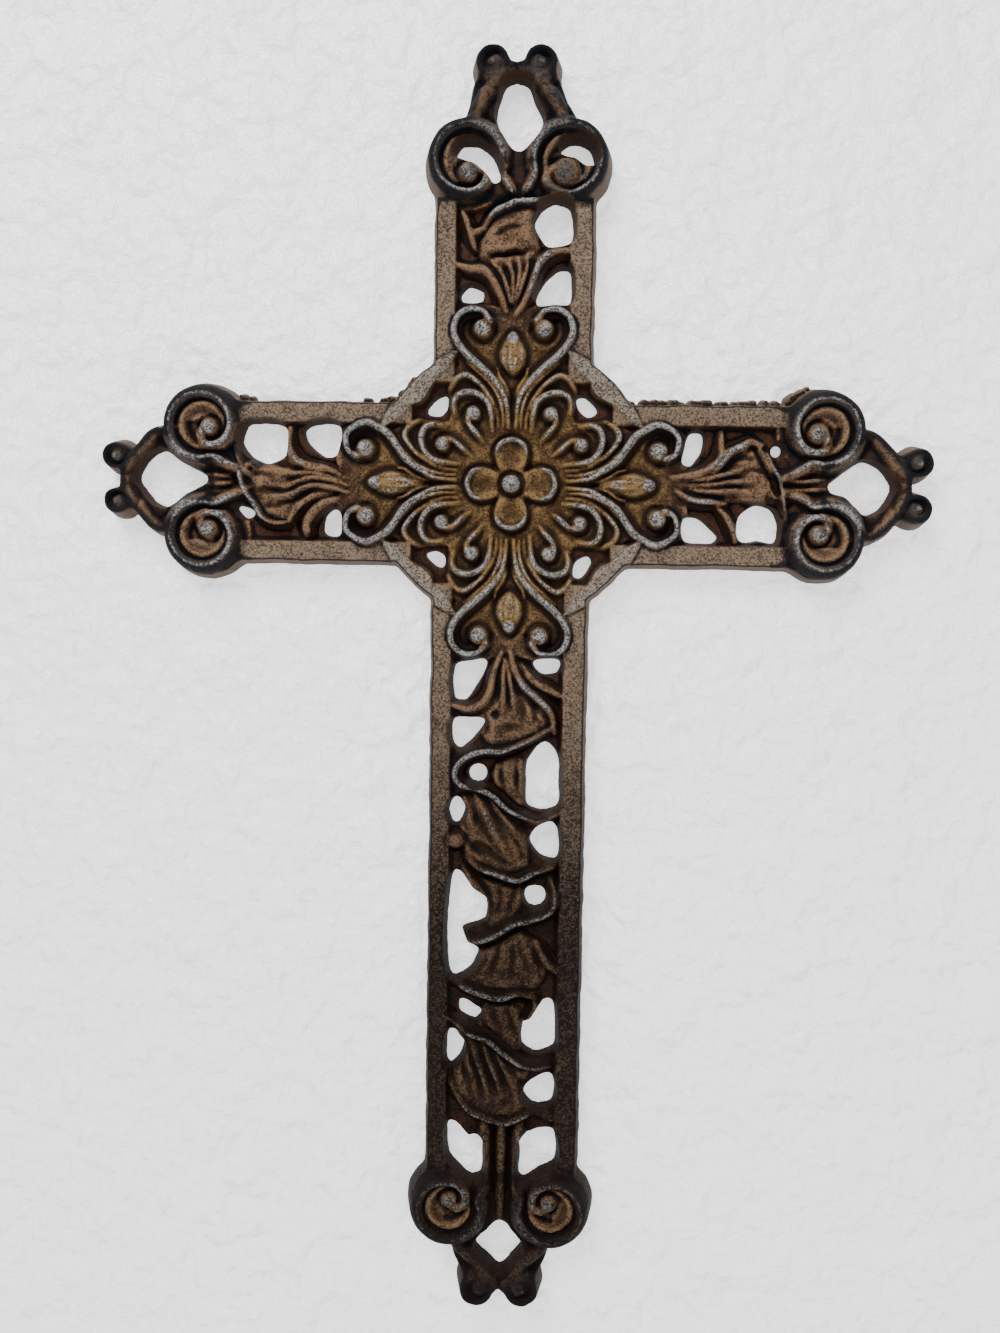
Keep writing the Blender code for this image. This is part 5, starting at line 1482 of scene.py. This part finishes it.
@dataclass(frozen=True)
class CastIron:
    """Rough cast iron with a rubbed silver, brown and black finish, with painted shade in its hollows and
    painted highlights on its ridges.

    Attributes:
        name: name of the material.
        black: pits and darkened ends; painted shade on high flanks and along the edges; in grooves the
            finish's black deepened as painted shade.
        shade_brown: painted shade in the depths of the carving, on the flanks and on the walls of the
            piercings.
        red_brown: rust of the ground.
        umber_dark: carving of the arms in its low places, darkened there as painted shade.
        umber: the same in its high places, lightened there as painted light.
        ochre_dark: carving of the rosette in its low places, darkened there as painted shade.
        ochre: the same in its high places, lightened there as painted light.
        rail_dark: dark grains of rails and ring.
        rail: pale grains of the rails.
        ring: pale grains of the ring.
        channel: tan in the channels of the scrolls.
        gunmetal: high lips before they are rubbed.
        silver: rubbed ridges, also standing for a painted highlight.
        bottom_dark: dark brown that darkens the lower arm toward the bottom.
        side: outer walls.
    """

    name: str = "cast_iron_front"
    black: Colour = (0.0015, 0.002, 0.0035, 1.0)
    shade_brown: Colour = (0.020, 0.008, 0.0035, 1.0)
    red_brown: Colour = (0.042, 0.016, 0.008, 1.0)
    umber_dark: Colour = (0.020, 0.009, 0.004, 1.0)
    umber: Colour = (0.114, 0.068, 0.038, 1.0)
    ochre_dark: Colour = (0.034, 0.017, 0.006, 1.0)
    ochre: Colour = (0.120, 0.072, 0.028, 1.0)
    rail_dark: Colour = (0.030, 0.020, 0.014, 1.0)
    rail: Colour = (0.120, 0.087, 0.060, 1.0)
    ring: Colour = (0.142, 0.122, 0.098, 1.0)
    channel: Colour = (0.125, 0.074, 0.038, 1.0)
    gunmetal: Colour = (0.034, 0.031, 0.030, 1.0)
    silver: Colour = (0.185, 0.176, 0.166, 1.0)
    bottom_dark: Colour = (0.0045, 0.0022, 0.0014, 1.0)
    side: Colour = (0.070, 0.048, 0.035, 1.0)

    def patina(self, skin: Skin) -> None:
        """Lay the brown of the carving: umber on the arms, ochre on the rosette, lighter where proud and
        darker where sunk as painted light and shade.

        Args:
            skin: sheet of the material.
        """
        # Painted light and shade: the brown is lighter on proud and raised places and darker in low ones,
        # beside its random patches.
        tone = skin.step(skin.total((skin.patch, 1.0), (skin.proud, 0.34), (skin.broad, 0.38)), 0.32, 0.80)
        skin.colour = skin.blend(skin.warm, skin.blend(tone, self.umber_dark, self.umber),
                                 skin.blend(tone, self.ochre_dark, self.ochre))
        # Painted shade: sunk places go dark brown, less so in the rosette.
        sunk = skin.step(skin.total((skin.broad, 1.0), (skin.warm, 0.40)), 0.02, -0.60)
        skin.lay(sunk, self.shade_brown)
        # Painted shade over the low ground, with patches of red-brown rust.
        skin.lay(skin.broken(skin.rise, 0.45, 0.36, 0.06, 1.5),
                 skin.blend(skin.cloud, self.shade_brown, self.red_brown))

    def sand(self, skin: Skin) -> None:
        """Lay the sandy finish of the flat rails and the ring.

        Args:
            skin: sheet of the material.
        """
        grains = skin.total((skin.fine, 0.62), (skin.grain, 0.24), (skin.noise(skin.place, 7.0, 3.0), 0.22))
        skin.lay(skin.flat, skin.blend(skin.step(grains, 0.30, 0.74), self.rail_dark,
                                       skin.blend(skin.ring, self.rail, self.ring)))

    def recesses(self, skin: Skin) -> None:
        """Lay black in the grooves, deepened as painted shade, black and brown on the flanks as painted
        shade, and tan in the channels of the scrolls, lighter where proud as painted light.

        Args:
            skin: sheet of the material.
        """
        # Painted shade: black laid deep in the grooves, over the black of the finish, less in the rosette.
        groove = skin.broken(skin.proud, -0.28, -0.60, 0.30, 0.7)
        skin.lay(skin.math("MULTIPLY", groove, skin.less(skin.warm, 0.35)), self.black)
        # Painted shade: steep flanks go dark brown low down and black higher up.
        flank = skin.broken(skin.steep, 0.34, 0.66, 0.25, 0.8)
        skin.lay(skin.math("MULTIPLY", flank, skin.less(skin.warm, 0.45)),
                 skin.blend(skin.step(skin.rise, 0.50, 0.64), self.shade_brown, self.black))
        tan = skin.math("MULTIPLY", skin.channel, skin.broken(skin.proud, -0.75, -0.30, 0.30, 1.2))
        # Painted light and shade: the tan is lighter on proud places and red-brown in the hollows, beside
        # its random patches.
        glow = skin.step(skin.total((skin.patch, 1.0), (skin.proud, 0.6)), 0.25, 0.75)
        skin.lay(tan, skin.blend(glow, self.red_brown, self.channel))

    def blacking(self, skin: Skin) -> None:
        """Lay gunmetal on the high lips, black in the pits and a black line of painted shade along the
        edges.

        Args:
            skin: sheet of the material.
        """
        lips = skin.math("MULTIPLY", skin.step(skin.rise, 0.71, 0.78),
                         skin.math("SUBTRACT", 0.85, skin.warm), clamp=True)
        skin.lay(lips, self.gunmetal)
        pits = skin.step(skin.total((skin.fine, 0.7), (skin.cloud, 0.3)), 0.46, 0.34)
        skin.lay(skin.math("MULTIPLY", pits, skin.less(skin.flat, 0.45, 0.70)), self.black)
        # Painted shade: a black line along the outer rim of the front, wider at the ends.
        line = skin.broken(skin.edge, 0.35, 0.85, 0.40, 0.9)
        skin.lay(skin.math("MULTIPLY", line, 0.90), self.black)

    def rubbed_silver_highlight(self, skin: Skin) -> Socket:
        """Lay silver with dark specks on the ridges: partly the silver that years of handling rubbed,
        partly a painted highlight on the crests.

        Args:
            skin: sheet of the material.

        Returns:
            Share of rubbed silver and painted highlight.
        """
        high = skin.math("MULTIPLY", skin.step(skin.total((skin.rise, 1.0), (skin.warm, 0.08)), 0.71, 0.80),
                         skin.less(skin.darkened_ends, 0.55))
        ridge = skin.total((skin.proud, 1.0), (skin.warm, 0.10), (skin.edge, -0.45))
        # Painted highlight: the silver on the crests is partly rubbed silver and partly light caught on the
        # ridges.
        rubbed_and_highlight = skin.math("MULTIPLY", skin.broken(ridge, 0.30, 0.64, 0.60, 0.8), high)
        speck = skin.step(skin.total((skin.fine, 0.8), (skin.cloud, 0.2)), 0.36, 0.62)
        skin.lay(rubbed_and_highlight, skin.blend(speck, self.gunmetal, self.silver))
        return rubbed_and_highlight

    def ends_and_hidden_sides(self, skin: Skin, rubbed_and_highlight: Socket) -> None:
        """Darken the ends and the lower arm toward the bottom, and lay plain brown on the walls and the
        back, darker on the walls of the piercings as painted shade.

        Args:
            skin: sheet of the material.
            rubbed_and_highlight: share of rubbed silver and painted highlight.
        """
        channel = skin.math("MULTIPLY", skin.channel, skin.math("SUBTRACT", 1.0, rubbed_and_highlight))
        # Darker toward the ends, less so in the tan channels.
        ends_darkening = skin.math("SUBTRACT", skin.darkened_ends, skin.math("MULTIPLY", channel, 0.7), clamp=True)
        skin.lay(skin.math("MULTIPLY", ends_darkening, 0.50), self.black)
        back = skin.blend(skin.patch, self.umber_dark, self.side)
        # Painted shade: the walls of the piercings are darker than the outer walls.
        walls = skin.blend(skin.outer, self.shade_brown, self.side)
        hidden = skin.blend(skin.step(skin.rise, 0.012, 0.030), back, walls)
        skin.colour = skin.blend(skin.front, hidden, skin.colour)
        # Darker down the lower arm toward the bottom, in grains.
        speckle_mask = skin.step(skin.total((skin.fine, 0.6), (skin.cloud, 0.4)), 0.60, 0.42)
        darkening_amount = skin.total((speckle_mask, 0.34), (skin.flat, 0.28), (channel, -0.50))
        skin.lay(skin.math("MULTIPLY", skin.lower, skin.math("ADD", darkening_amount, 0.59), clamp=True), self.bottom_dark)

    def material(self) -> bpy.types.Material:
        """Build the material.

        Returns:
            The material.
        """
        metal = bpy.data.materials.new(self.name)
        metal.use_nodes = True
        shader = metal.node_tree.nodes["Principled BSDF"]
        skin = Skin(metal.node_tree)
        self.patina(skin)
        self.sand(skin)
        self.recesses(skin)
        self.blacking(skin)
        rubbed_and_highlight = self.rubbed_silver_highlight(skin)
        self.ends_and_hidden_sides(skin, rubbed_and_highlight)
        skin.join(skin.colour, shader.inputs["Base Color"])
        shader.inputs["Metallic"].default_value = 0.0
        shader.inputs["Specular IOR Level"].default_value = 0.05
        rough = skin.math("ADD", 0.48, skin.math("MULTIPLY", skin.grain, 0.25))
        skin.join(rough, shader.inputs["Roughness"])
        bump = skin.node("ShaderNodeBump")
        bump.inputs["Strength"].default_value = 1.0
        bump.inputs["Distance"].default_value = 0.0004
        rough_skin = skin.total((skin.noise(skin.place, 0.7, 4.0), 1.0), (skin.cloud, 0.3))
        skin.join(rough_skin, bump.inputs["Height"])
        skin.join(bump.outputs["Normal"], shader.inputs["Normal"])
        return metal


@dataclass(frozen=True)
class Plaster:
    """Pale textured plaster that sheds a little light of its own and can't be seen from behind.

    Attributes:
        name: name of the material.
        paint: its colour.
        glow: colour of its own light.
        glow_strength: strength of that light.
        roughness: its roughness.
        ripple_depth: depth of its texture in metres.
    """

    name: str = "studio_plaster"
    paint: Colour = (0.5, 0.5, 0.505, 1.0)
    glow: Colour = (0.99, 0.99, 1.0, 1.0)
    glow_strength: float = 0.92
    roughness: float = 0.32
    ripple_depth: float = 0.006

    def material(self) -> bpy.types.Material:
        """Build the material.

        Returns:
            The material.
        """
        plaster = bpy.data.materials.new(self.name)
        plaster.use_nodes = True
        sheet = Sheet(plaster.node_tree)
        shader = plaster.node_tree.nodes["Principled BSDF"]
        shader.inputs["Base Color"].default_value = self.paint
        shader.inputs["Emission Color"].default_value = self.glow
        shader.inputs["Emission Strength"].default_value = self.glow_strength
        shader.inputs["Roughness"].default_value = self.roughness
        place = sheet.node("ShaderNodeTexCoord").outputs["Object"]
        bump = sheet.node("ShaderNodeBump")
        bump.inputs["Strength"].default_value = 1.0
        bump.inputs["Distance"].default_value = self.ripple_depth
        ripple = sheet.total((sheet.noise(place, 11.0, 2.0), 1.0), (sheet.noise(place, 3.4, 3.0), 0.32))
        sheet.join(ripple, bump.inputs["Height"])
        sheet.join(bump.outputs["Normal"], shader.inputs["Normal"])
        clear = sheet.node("ShaderNodeBsdfTransparent")
        hidden = sheet.math("MAXIMUM", sheet.node("ShaderNodeNewGeometry").outputs["Backfacing"],
                            sheet.node("ShaderNodeLightPath").outputs["Is Shadow Ray"])
        either = sheet.node("ShaderNodeMixShader")
        sheet.join(hidden, either.inputs["Fac"])
        sheet.join(shader.outputs["BSDF"], either.inputs[1])
        sheet.join(clear.outputs["BSDF"], either.inputs[2])
        sheet.join(either.outputs["Shader"], plaster.node_tree.nodes["Material Output"].inputs["Surface"])
        return plaster


@dataclass
class Casting:
    """The whole casting as one skin.

    Attributes:
        border: rails, ring and pierced ground.
        rosette: the rosette.
        terminals: the four ends.
        carving: the carving of the arms.
        piercings: the openings.
        crumbs: lumps on the upper edges.
        uneven: radius in samples and depth of each layer of unevenness of the front.
        ragged: the same for the edges.
        plan_ease: easing where outline and piercings meet.
        rim_ease: easing where the front meets the walls.
        fine_bell: radius in samples of the bell that tells ridges from grooves.
        broad_bell: radius of the one that tells high leaves from sunk ground.
    """

    border: Frame
    rosette: Rosette
    terminals: Terminals
    carving: Carving
    piercings: Piercings
    crumbs: Crumbs
    uneven: tuple[Point, ...] = ((1.3, 0.05), (3.6, 0.07), (9.0, 0.10))
    ragged: tuple[Point, ...] = ((2.4, 0.06), (7.0, 0.08))
    plan_ease: float = 0.3
    rim_ease: float = 0.5
    fine_bell: float = 2.2
    broad_bell: float = 6.0

    def relief(self) -> Relief:
        """Draw the relief of the front.

        Returns:
            The relief.
        """
        sheet = Relief()
        self.border.outline(sheet)
        self.terminals.outline(sheet)
        self.border.carve(sheet)
        self.carving.carve(sheet)
        self.rosette.carve(sheet)
        self.terminals.carve(sheet)
        self.piercings.cut(sheet)
        self.roughen(sheet)
        self.crumbs.scatter(sheet)
        return sheet

    def roughen(self, sheet: Relief) -> None:
        """Give the cast skin its gentle unevenness and its soft, slightly ragged edges.

        Args:
            sheet: the relief.
        """
        shape = sheet.height.shape
        sheet.height = np.where(sheet.height > 0.0, sheet.height, BARE)
        for radius, depth in self.uneven:
            noise = blurred(sheet.dice.standard_normal(shape), radius)
            sheet.height += depth * noise / noise.std()
        for radius, depth in self.ragged:
            noise = blurred(sheet.dice.standard_normal(shape), radius)
            ragged = depth * np.clip(noise / noise.std(), -1.5, 1.5) - 1.5 * depth
            sheet.outside += ragged
            sheet.holes += ragged

    def field(self, sheet: Relief, levels: np.ndarray) -> np.ndarray:
        """Depth inside the iron at every sample of a block over the relief.

        Args:
            sheet: the relief.
            levels: heights of the samples over the wall plane.

        Returns:
            Positive numbers in the iron and negative ones outside, as [level, row, column].
        """
        slope_y, slope_x = np.gradient(sheet.height, PITCH)
        steep = np.sqrt(1.0 + slope_x ** 2 + slope_y ** 2)
        plan = smooth_min(sheet.outside, sheet.holes, self.plan_ease)
        block = np.empty((len(levels),) + sheet.height.shape, dtype=np.float32)
        for index, level in enumerate(levels):
            wall = (plan - DRAFT * level) / math.hypot(1.0, DRAFT)
            front = (sheet.height - level) / steep
            block[index] = np.minimum(smooth_min(wall, front, self.rim_ease), level)
        return block

    @staticmethod
    def skin(block: np.ndarray, corner: tuple[float, float, float]) -> tuple[np.ndarray, np.ndarray]:
        """Surface of a block of depths, one vertex in each cell that it crosses.

        Args:
            block: depths as [level, row, column].
            corner: x, y and z of the first sample.

        Returns:
            The vertices and the four-sided faces.
        """
        solid = block > 0.0
        levels, rows, columns = block.shape
        count = np.zeros((levels - 1, rows - 1, columns - 1), dtype=np.uint8)
        for dz in (0, 1):
            for dy in (0, 1):
                for dx in (0, 1):
                    count += solid[dz:levels - 1 + dz, dy:rows - 1 + dy, dx:columns - 1 + dx]
        mixed = (count > 0) & (count < 8)
        cell_z, cell_y, cell_x = np.nonzero(mixed)
        number = np.full(mixed.shape, -1, dtype=np.int32)
        number[mixed] = np.arange(len(cell_z), dtype=np.int32)
        total = np.zeros((len(cell_z), 3))
        crossings = np.zeros(len(cell_z))
        corners = [(dz, dy, dx) for dz in (0, 1) for dy in (0, 1) for dx in (0, 1)]
        for first in corners:
            for second in corners:
                if sum(second) - sum(first) != 1 or sum(abs(a - b) for a, b in zip(first, second)) != 1:
                    continue
                here = block[cell_z + first[0], cell_y + first[1], cell_x + first[2]]
                there = block[cell_z + second[0], cell_y + second[1], cell_x + second[2]]
                crossed = (here > 0.0) != (there > 0.0)
                share = np.where(crossed, here / np.where(crossed, here - there, 1.0), 0.0)
                for axis, (a, b) in enumerate(zip(first, second)):
                    total[:, axis] += np.where(crossed, a + share * (b - a), 0.0)
                crossings += crossed
        total /= crossings[:, None]
        places = np.column_stack((corner[0] + PITCH * (cell_x + total[:, 2]),
                                  corner[1] + PITCH * (cell_y + total[:, 1]),
                                  corner[2] + PITCH * (cell_z + total[:, 0])))
        faces = []
        for axis in range(3):
            low = [slice(1, -1)] * 3
            high = [slice(1, -1)] * 3
            low[axis], high[axis] = slice(0, -1), slice(1, None)
            change = solid[tuple(low)].astype(np.int8) - solid[tuple(high)]
            for sign in (1, -1):
                at = np.nonzero(change == sign)
                at = [values + (0 if index == axis else 1) for index, values in enumerate(at)]
                one, two = [index for index in range(3) if index != axis]
                ring = []
                for back_one, back_two in ((1, 1), (0, 1), (0, 0), (1, 0)):
                    cell = list(at)
                    cell[one] = at[one] - back_one
                    cell[two] = at[two] - back_two
                    ring.append(number[tuple(cell)])
                flip = (sign == 1) != (axis == 1)
                faces.append(np.column_stack(ring[::-1] if flip else ring))
        return places, np.vstack(faces)

    def build(self, finish: CastIron) -> bpy.types.Object:
        """Make the casting's object.

        Args:
            finish: the finish of the casting.

        Returns:
            The object, riding on the root body in place of the plain solid.
        """
        sheet = self.relief()
        levels = np.arange(-2.0 * PITCH, 10.4, PITCH)
        places, faces = self.skin(self.field(sheet, levels), (sheet.x[0], sheet.y[0], levels[0]))
        raw = bpy.data.meshes.new("cross_relief")
        raw.vertices.add(len(places))
        upright = np.column_stack((places[:, 0], -places[:, 2], places[:, 1] - HANG_HEIGHT)) * MM
        raw.vertices.foreach_set("co", upright.ravel())
        raw.loops.add(faces.size)
        raw.loops.foreach_set("vertex_index", faces.ravel())
        raw.polygons.add(len(faces))
        raw.polygons.foreach_set("loop_start", np.arange(0, faces.size, 4))
        raw.update(calc_edges=True)
        piece = bpy.data.objects.new("cross_relief", raw)
        bpy.context.scene.collection.objects.link(piece)
        thin = piece.modifiers.new("thin", "DECIMATE")
        thin.ratio = min(1.0, FACES / (2.0 * len(faces)))
        graph = bpy.context.evaluated_depsgraph_get()
        mesh = bpy.data.meshes.new_from_object(piece.evaluated_get(graph))
        piece.modifiers.clear()
        piece.data = mesh
        mesh.name = "cross_relief"
        facing = np.empty(3 * len(mesh.polygons))
        mesh.polygons.foreach_get("normal", facing)
        mesh.polygons.foreach_set("use_smooth", facing[1::3] < FLAT_FACING)
        self.mark(mesh, sheet)
        mesh.materials.append(finish.material())
        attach(piece, "root")
        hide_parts("cross_casting")
        return piece

    def mark(self, mesh: bpy.types.Mesh, sheet: Relief) -> None:
        """Store on every vertex how proud, sunk, deep and steep the relief is there, and its zone.

        Args:
            mesh: the finished mesh.
            sheet: the relief that it was made from.
        """
        count = len(mesh.vertices)
        places = np.empty(count * 3)
        mesh.vertices.foreach_get("co", places)
        places = places.reshape(count, 3) / MM
        x, y, z = places[:, 0], places[:, 2] + HANG_HEIGHT, -places[:, 1]
        column = np.clip((x - sheet.x[0]) / PITCH, 0, len(sheet.x) - 2)
        row = np.clip((y - sheet.y[0]) / PITCH, 0, len(sheet.y) - 2)
        left, low = column.astype(int), row.astype(int)
        over_x, over_y = column - left, row - low

        def sampled(values: np.ndarray) -> np.ndarray:
            """Values of a field at the vertices."""
            below = values[low, left] * (1.0 - over_x) + values[low, left + 1] * over_x
            above = values[low + 1, left] * (1.0 - over_x) + values[low + 1, left + 1] * over_x
            return below * (1.0 - over_y) + above * over_y

        iron = (sheet.outside > 0.0).astype(float)
        height = np.where(iron > 0.0, sheet.height, 0.0)
        fine, broad = (blurred(height, bell) / np.maximum(blurred(iron, bell), 0.05)
                       for bell in (self.fine_bell, self.broad_bell))
        slope_y, slope_x = np.gradient(sheet.height, PITCH)
        top = np.clip((z - sampled(sheet.height) + 1.0) / 0.8, 0.0, 1.0)
        ends = np.clip(np.maximum(np.maximum(y - 64.0, np.abs(x) - 62.0), -167.0 - y) / 3.0, 0.0, 1.0)
        inside = sampled(sheet.outside - DRAFT * sheet.height)
        ring, rail = sampled(sheet.zones["ring"]), sampled(sheet.zones["rail"])
        marks = {
            "proud": np.clip(sampled(height - fine) / 0.8, -1.0, 1.0) * top,
            "broad": np.clip(sampled(height - broad) / 2.0, -1.0, 1.0) * top,
            "rise": np.clip(z / 10.0, 0.0, 1.0),
            "steep": np.clip(sampled(blurred(np.hypot(slope_x, slope_y), 0.8)) / 4.0, 0.0, 1.0),
            "front": top,
            "edge": top * np.clip(1.3 - inside / (0.45 + 1.8 * ends), 0.0, 1.0),
            "darkened_ends": np.clip(np.maximum(np.maximum((y - 66.0) / 22.0, (np.abs(x) - 66.0) / 64.0),
                                        (-165.0 - y) / 25.0), 0.0, 1.0),
            "warm": np.clip((40.0 - np.hypot(x, y)) / 6.0, 0.0, 1.0) * (1.0 - ring),
            "ring": ring,
            "channel": sampled(sheet.zones["channel"]),
            "outer": (sampled(sheet.outside) < sampled(sheet.holes)).astype(float),
            "flat": np.maximum(ring, rail) * np.exp(-((sampled(height) - RAIL - 0.7 * ring) / 0.6) ** 2),
        }
        for name, values in marks.items():
            layer = mesh.attributes.new(name, "FLOAT", "POINT")
            layer.data.foreach_set("value", values.astype(np.float32))


@dataclass
class Studio:
    """Pale wall and floor, soft light and the camera of the front view, in metres.

    Attributes:
        plaster: finish of wall and floor.
        wall_gap: gap between the casting's back and the wall.
        wall_half: half the width of wall and floor.
        floor_level: level of the floor.
        lamps: name, place, size and power of each lamp.
        lamp_aim: point that the lamps face.
        sky: colour of the light from all round.
        sky_strength: strength of that light.
        camera_place: place of the camera.
        camera_turn: its turn about x, y and z in degrees.
        lens: its focal length in millimetres.
    """

    plaster: Plaster = Plaster()
    wall_gap: float = 0.0008
    wall_half: float = 2.0
    floor_level: float = -0.42
    lamps: tuple[tuple[str, Place, float, float], ...] = (
        ('key', (-0.3, -0.7, 0.55), 0.5, 21.0),
        ('fill', (0.5, -0.8, -0.2), 0.8, 6.0),
        ('back_fill', (0.3, 0.9, 0.4), 0.8, 5.0),
    )
    lamp_aim: Place = (0.0, 0.0, -0.1)
    sky: Colour = (0.95, 0.97, 1.0, 1.0)
    sky_strength: float = 0.74
    camera_place: Place = (0.0078839, -0.29493522, -0.11618466)
    camera_turn: Place = (85.65562, -0.857498, 2.019084)
    lens: float = 32.41

    def backdrop(self) -> None:
        """Wall behind the cross and floor below it."""
        half, level, gap = self.wall_half, self.floor_level, self.wall_gap
        finish = self.plaster.material()
        for name, corners in (
            ("studio_wall", ((-half, gap, level), (half, gap, level), (half, gap, half),
                             (-half, gap, half))),
            ("studio_floor", ((-half, -half, level), (half, -half, level), (half, gap, level),
                              (-half, gap, level))),
        ):
            mesh = bpy.data.meshes.new(name)
            mesh.from_pydata(corners, [], [(0, 1, 2, 3)])
            mesh.materials.append(finish)
            plane = bpy.data.objects.new(name, mesh)
            bpy.context.scene.collection.objects.link(plane)

    def light(self) -> None:
        """Even light from the front with a soft lead from above, and a little on the back."""
        for name, place, size, power in self.lamps:
            data = bpy.data.lights.new(name, "AREA")
            data.size = size
            data.energy = power
            lamp = bpy.data.objects.new(name, data)
            lamp.location = place
            aim = Vector(self.lamp_aim) - Vector(place)
            lamp.rotation_euler = aim.to_track_quat("-Z", "Y").to_euler()
            bpy.context.scene.collection.objects.link(lamp)
        world = bpy.data.worlds.new("studio")
        world.use_nodes = True
        world.node_tree.nodes["Background"].inputs["Color"].default_value = self.sky
        world.node_tree.nodes["Background"].inputs["Strength"].default_value = self.sky_strength
        bpy.context.scene.world = world

    def camera(self) -> None:
        """Camera at the angle of the front view."""
        data = bpy.data.cameras.new("front_view")
        data.lens = self.lens
        data.sensor_width = 36.0
        data.clip_start = 0.01
        camera = bpy.data.objects.new("front_view", data)
        camera.location = self.camera_place
        camera.rotation_euler = tuple(math.radians(angle) for angle in self.camera_turn)
        bpy.context.scene.collection.objects.link(camera)
        bpy.context.scene.camera = camera


def main() -> None:
    """Build the studio and the casting, and report them."""
    logging.basicConfig(level=logging.INFO, format="%(message)s")
    report = logging.getLogger("wall_cross")
    studio = Studio()
    studio.camera()
    studio.light()
    studio.backdrop()
    casting = Casting(Frame(), Rosette(), Terminals(), Carving(), Piercings(), Crumbs())
    piece = casting.build(CastIron())
    report.info("%s: %d faces", piece.name, len(piece.data.polygons))


if __name__ == "__main__":
    main()
